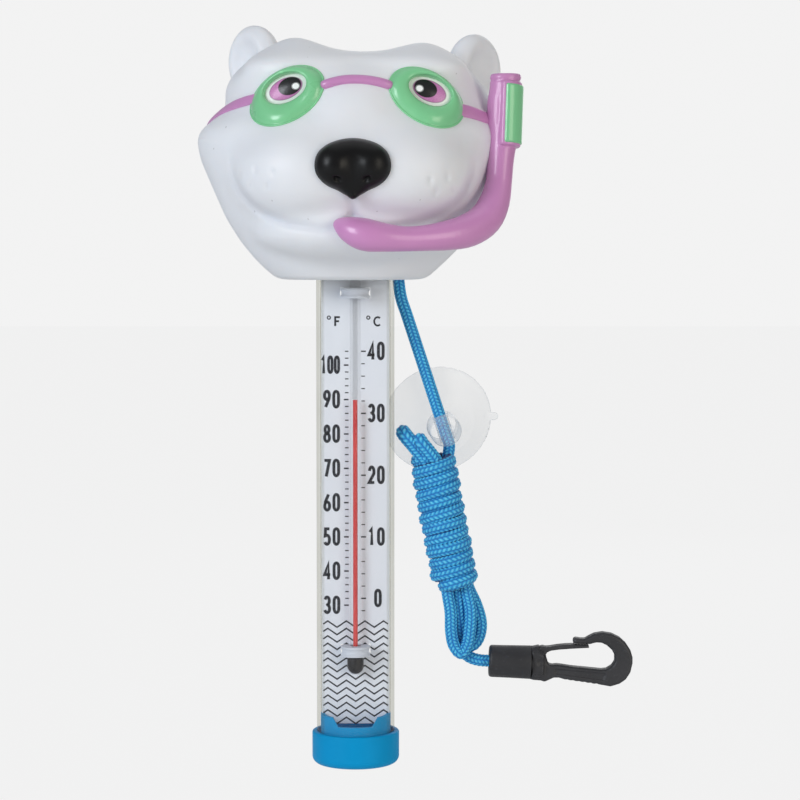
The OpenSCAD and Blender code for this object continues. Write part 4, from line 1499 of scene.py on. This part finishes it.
# (x, z) outlines seen from the front
HOOK_OUTLINE = [
    (55.0, 26.2), (58.09, 25.43), (60.06, 25.27), (61.39, 24.85), (62.72, 25.43), (64.37, 26.2),
    (66.03, 26.2), (68.0, 25.6), (79.25, 23.94), (82.88, 23.3), (85.86, 24.2), (87.84, 25.59),
    (89.35, 27.9), (90.05, 30.88), (90.05, 32.85), (89.35, 35.19), (87.84, 37.49),
    (85.86, 39.3), (83.24, 40.6), (80.26, 41.05), (77.6, 40.6), (75.78, 39.7), (74.62, 39.0),
    (73.29, 38.98), (71.47, 39.25), (70.75, 38.8), (70.6, 37.55), (76.2, 37.2), (77.11, 37.49),
    (78.25, 37.75), (79.9, 37.65), (81.58, 36.84), (83.24, 35.35), (84.21, 33.53),
    (84.21, 31.53), (83.24, 30.07), (81.58, 29.06), (79.9, 28.9), (76.59, 29.22),
    (73.29, 29.55), (69.98, 29.87), (66.68, 30.39), (65.38, 30.55), (64.05, 30.39),
    (63.05, 30.6), (62.46, 31.2), (62.24, 32.21), (61.9, 33.1), (61.9, 36.3), (60.39, 36.68),
    (59.09, 36.58), (57.6, 36.0), (55.0, 36.0)]
GATE_OUTLINE = [
    (60.9, 36.25), (63.05, 36.35), (65.38, 36.75), (68.33, 37.05), (70.14, 37.12),
    (75.7, 36.9), (75.9, 36.0), (69.98, 35.7), (66.03, 35.42), (63.37, 35.05), (62.2, 34.5),
    (61.2, 33.6)]
PANEL_OUTLINE = [(64.6, 27.6), (80.5, 25.4), (81.4, 27.2), (80.6, 27.9), (64.8, 29.2)]
PIVOT = (60.78, 34.99)
PIVOT_RADIUS, PIVOT_GAP = 1.5, 0.12
# (radius, height) and corner radii of the barrel round the cord's end
BARREL_PROFILE = [(2.15, 0), (5.22, 0), (5.3, 6.6), (5.45, 13.7), (4.1, 13.7), (4.1, 2.6),
                  (2.15, 2.6)]
BARREL_CORNERS = [0.25, 1.1, 0.0, 0.35, 0.1, 0.1, 0.1]


def extruded(flat, y, half, rounding, middle=HOOK_Y):
    return rounded([flat, np.abs(y - middle) - half], rounding)


def pivot_distance(x, z):
    return np.hypot(x - PIVOT[0], z - PIVOT[1])


def hook(at):
    x, y, z = at
    flat = outline_distance(x, z, HOOK_OUTLINE)
    for i in range(6):  # notches under the spine
        notch = np.hypot(x - (68.75 + i * 1.9), z - (25.2 - i * 0.262) + 0.25) - 0.62
        flat = cut(flat, notch, soft=0.25)
    flat = np.maximum(flat, -(pivot_distance(x, z) - PIVOT_RADIUS - PIVOT_GAP))
    form = extruded(flat, y, half=2.55, rounding=1.05)
    neck = np.maximum(rod(at, (50, HOOK_Y, 31.3), (58.2, HOOK_Y, 31.0), 5.25, 5.3), 57.2 - x)
    neck = np.maximum(neck, np.abs(y - HOOK_Y) - 3.9)
    form = join(form, np.maximum(neck, x - 61.0), soft=0.8)
    stub = rod(at, (50, HOOK_Y, 31.3), (58, HOOK_Y, 31.0), 3.9)
    form = join(form, np.maximum(stub, 50.5 - x), soft=0.3)
    panel = outline_distance(x, z, PANEL_OUTLINE)
    for side in SIDES:  # a shallow panel on each face of the spine
        sunk = extruded(panel, y, half=0.85, rounding=0.3, middle=HOOK_Y + side * 3.0)
        form = cut(form, sunk, soft=0.25)
    for side in SIDES:  # a dimple on each face of the neck
        form = cut(form, ellipsoid(at, (60.2, HOOK_Y + side * 4.3, 31.6), (1.5, 1.0, 1.5)),
                   soft=0.3)
    bore = np.maximum(rod(at, (46, HOOK_Y, 31.4), (55.5, HOOK_Y, 31.1), 2.65), x - 55.5)
    return cut(form, bore, soft=0.2)


def gate(at):
    x, y, z = at
    flat = np.minimum(outline_distance(x, z, GATE_OUTLINE), pivot_distance(x, z) - PIVOT_RADIUS)
    return extruded(flat, y, half=2.2, rounding=0.45)


def nylon_material():
    mat = Mat("black_nylon")
    tone = mat.drift(srgb(36, 36, 39), srgb(52, 52, 55), scale=50)
    worn = mat.pointed((0.53, BLACK), (0.66, WHITE))
    tone = mat.over(tone, srgb(100, 100, 104), worn, amount=0.4)
    specks = mat.specks(start=0.62, stop=0.72, scale=900, detail=2, roughness=0.7)
    tone = mat.over(tone, srgb(84, 84, 88), specks, amount=0.25)
    fine = mat.grain(strength=0.6, distance=0.00006, scale=1100, detail=4, roughness=0.65)
    mat.set(Base_Color=tone, Roughness=mat.uneven(0.42, 0.6, scale=140, detail=4),
            Normal=mat.grain(strength=0.15, distance=0.0003, over=fine, scale=60, detail=2))
    return mat


def build_hook():
    body = make("snap_hook", *surface(hook, (49, 3, 21.5), (92, 15, 43),
                                      cell_size(0.4), settle=2))
    fit(body, "hook", "hook_black", "hook_body")
    arm = make("snap_gate", *surface(gate, (58, 5, 31.5), (78, 13, 39),
                                     cell_size(0.3), settle=2))
    fit(arm, "gate", "hook_black", "hook_gate")
    tilt = math.radians(2)
    axis = vec(math.cos(tilt), 0, -math.sin(tilt))
    points, faces = lathe(round_corners(BARREL_PROFILE, BARREL_CORNERS), 120)
    points = points @ np.array([BACKWARD, unit(np.cross(axis, BACKWARD)), axis])
    barrel = make("hook_collar", points + vec(43.25, HOOK_Y, 31.5), faces, sharp=40)
    outward(barrel)
    fit(barrel, "clip_end", "hook_black", "hook_barrel")
    nylon = nylon_material()
    for ob in (body, arm, barrel):
        assign(ob, nylon)


build_hook()


# ---------------------------------------------------------------- CAD pieces kept as they are
def card_material():
    mat = Mat("card_sheet")
    mat.set(Base_Color=mat.drift(srgb(226, 231, 240), srgb(233, 237, 244), scale=30),
            Roughness=mat.uneven(0.38, 0.52, scale=200),
            Normal=mat.grain(strength=0.25, distance=0.00004, scale=900, roughness=0.6))
    return mat


def knot_material():
    mat = Mat("knot_braid", rough=0.62)
    cells = mat.node("ShaderNodeTexVoronoi")
    cells.inputs["Scale"].default_value = 900
    mat.put(cells.inputs["Vector"], mat.coords())
    distance = cells.outputs["Distance"]
    mat.set(Base_Color=mat.ramp(distance, [(0.0, srgb(70, 180, 232)), (0.5, srgb(26, 132, 206)),
                                           (1.0, srgb(12, 70, 150))]),
            Roughness=mat.uneven(0.5, 0.7, scale=600),
            Normal=mat.bump(distance, strength=0.8, distance=0.0003))
    return mat


def metal_material():
    mat = Mat("crimp_metal", rough=0.35)
    mat.set(Metallic=1.0,
            Base_Color=mat.drift(srgb(168, 168, 172), srgb(196, 196, 200), scale=200, detail=4),
            Roughness=mat.uneven(0.28, 0.45, scale=500, roughness=0.6, stretch=(1, 8, 8)),
            Normal=mat.grain(strength=0.3, distance=0.00003, scale=700, roughness=0.6,
                             stretch=(1, 10, 10)))
    return mat


def dress_cad_nodes():
    rubber = moulded("grommet_rubber", srgb(212, 217, 227), rough=0.75, spread=0.03,
                     grain=1400, depth=0.00006, shine=0.2)
    plug = moulded("plug_plastic", srgb(224, 224, 222), rough=0.42, spread=0.03, grain=1100,
                   depth=0.00005)
    looks = {
        "bottom_cap": moulded("cap_blue", (0.0, 0.30, 0.62), rough=0.5, spread=0.06,
                              grain=1100, depth=0.00005, edge=0.12, shine=0.12),
        "scale_card": card_material(),
        # the edge tints are painted shade where the tube and the stem are seen edge on
        "clear_tube": see_through("clear_tube", (0.994, 0.995, 0.994),
                                  painted_edge_shade=(0.80, 0.80, 0.765), rough=0.05, milk=0.006,
                                  ior=1.47, wall=(0.50, 0.62), shine=0.4),
        "glass_stem": see_through("stem_glass", (0.99, 0.991, 0.993),
                                  painted_edge_shade=(0.945, 0.945, 0.95), rough=0.03, milk=0.004,
                                  ior=1.5, shine=0.3, cast=0.0),
        "spirit_meniscus": spirit,
        "grommet_upper": rubber, "grommet_lower": rubber,
        "neck_plug": plug, "tube_top_plug": plug,
        "cord_knot": knot_material(),
        "cord_crimp": metal_material(),
    }
    for name, mat in looks.items():
        assign(NODES[name], mat)
    for name in ("clear_tube", "glass_stem"):
        NODES[name].visible_shadow = False


dress_cad_nodes()

# ---------------------------------------------------------------- floor, light and camera
# From here on lengths are in metres.
BACKDROP = (0.894, 0.894, 0.894, 1)
FLOOR_HALF, FLOOR_Z = 6.0, -0.062
LIGHT_AIM = (0.01, 0, 0.14)
CAMERA_PLACE, CAMERA_AIM = (0.0143, -0.8, 0.168), (0.0143, 0, 0.1173)


def build_floor():
    """A floor that the camera sees as almost the plain backdrop colour."""
    mesh = bpy.data.meshes.new("floor")
    corners = [(x * FLOOR_HALF, y * FLOOR_HALF, 0) for x, y in ((-1, -1), (1, -1), (1, 1), (-1, 1))]
    mesh.from_pydata(corners, [], [(0, 1, 2, 3)])
    ob = bpy.data.objects.new("floor", mesh)
    ob.location = (0, 0, FLOOR_Z)
    scene.collection.objects.link(ob)
    mat = Mat("floor_paint", rough=0.9)
    mat.set(Base_Color=mat.drift((0.86, 0.86, 0.86), (0.88, 0.88, 0.88), scale=3, detail=2),
            Specular_IOR_Level=0.1)
    glow = mat.node("ShaderNodeEmission")
    glow.inputs[0].default_value = BACKDROP
    rays = mat.node("ShaderNodeLightPath").outputs
    mixer = mat.node("ShaderNodeMixShader")
    seen = mat.times(rays["Is Camera Ray"], 0.97)
    for socket, value in zip(mixer.inputs, (seen, mat.shader.outputs[0], glow.outputs[0])):
        mat.put(socket, value)
    mat.put(mat.out.inputs[0], mixer.outputs[0])
    assign(ob, mat)


def build_world():
    """One colour for the camera, a dimmer bluish one for light."""
    world = bpy.data.worlds.new("studio")
    scene.world = world
    world.use_nodes = True
    nodes, links = world.node_tree.nodes, world.node_tree.links
    nodes.clear()
    out = nodes.new("ShaderNodeOutputWorld")
    seen, light = nodes.new("ShaderNodeBackground"), nodes.new("ShaderNodeBackground")
    seen.inputs["Color"].default_value = BACKDROP
    light.inputs["Color"].default_value = (0.86, 0.88, 0.92, 1)
    light.inputs["Strength"].default_value = 0.35
    mixer = nodes.new("ShaderNodeMixShader")
    rays = nodes.new("ShaderNodeLightPath")
    links.new(rays.outputs["Is Camera Ray"], mixer.inputs[0])
    links.new(light.outputs[0], mixer.inputs[1])
    links.new(seen.outputs[0], mixer.inputs[2])
    links.new(mixer.outputs[0], out.inputs[0])


def add_aimed(name, data, place, aim):
    """Adds a light or camera that looks at aim."""
    ob = bpy.data.objects.new(name, data)
    ob.location = place
    ob.rotation_mode = "QUATERNION"
    ob.rotation_quaternion = (Vector(aim) - Vector(place)).to_track_quat("-Z", "Y")
    scene.collection.objects.link(ob)
    return ob


def lamp(name, place, width, height, power, colour=(1.0, 1.0, 1.0)):
    light = bpy.data.lights.new(name, "AREA")
    light.energy = power
    light.color = colour
    light.shape = "RECTANGLE"
    light.size = width
    light.size_y = height
    add_aimed(name, light, place, LIGHT_AIM).visible_camera = False


def build_camera():
    data = bpy.data.cameras.new("cam")
    data.lens = 112.55
    data.sensor_width = 36
    data.clip_start = 0.01
    data.clip_end = 30
    scene.camera = add_aimed("camera", data, CAMERA_PLACE, CAMERA_AIM)
    view = scene.view_settings
    view.view_transform = "Standard"
    view.look = "None"
    view.exposure = 0.0
    view.gamma = 1.0


build_floor()
build_world()
lamp("key_left", (-0.80, -0.82, 0.47), width=0.42, height=0.62, power=6.9,
     colour=(0.89, 0.94, 1.0))
lamp("fill_right", (0.80, -0.85, 0.30), width=0.5, height=0.8, power=4.0,
     colour=(1.0, 0.925, 0.80))
lamp("top_soft", (0.05, 0.15, 1.15), width=0.8, height=0.8, power=1.0)
lamp("back_soft", (0.3, 1.0, 0.5), width=0.8, height=0.8, power=2.2)
build_camera()
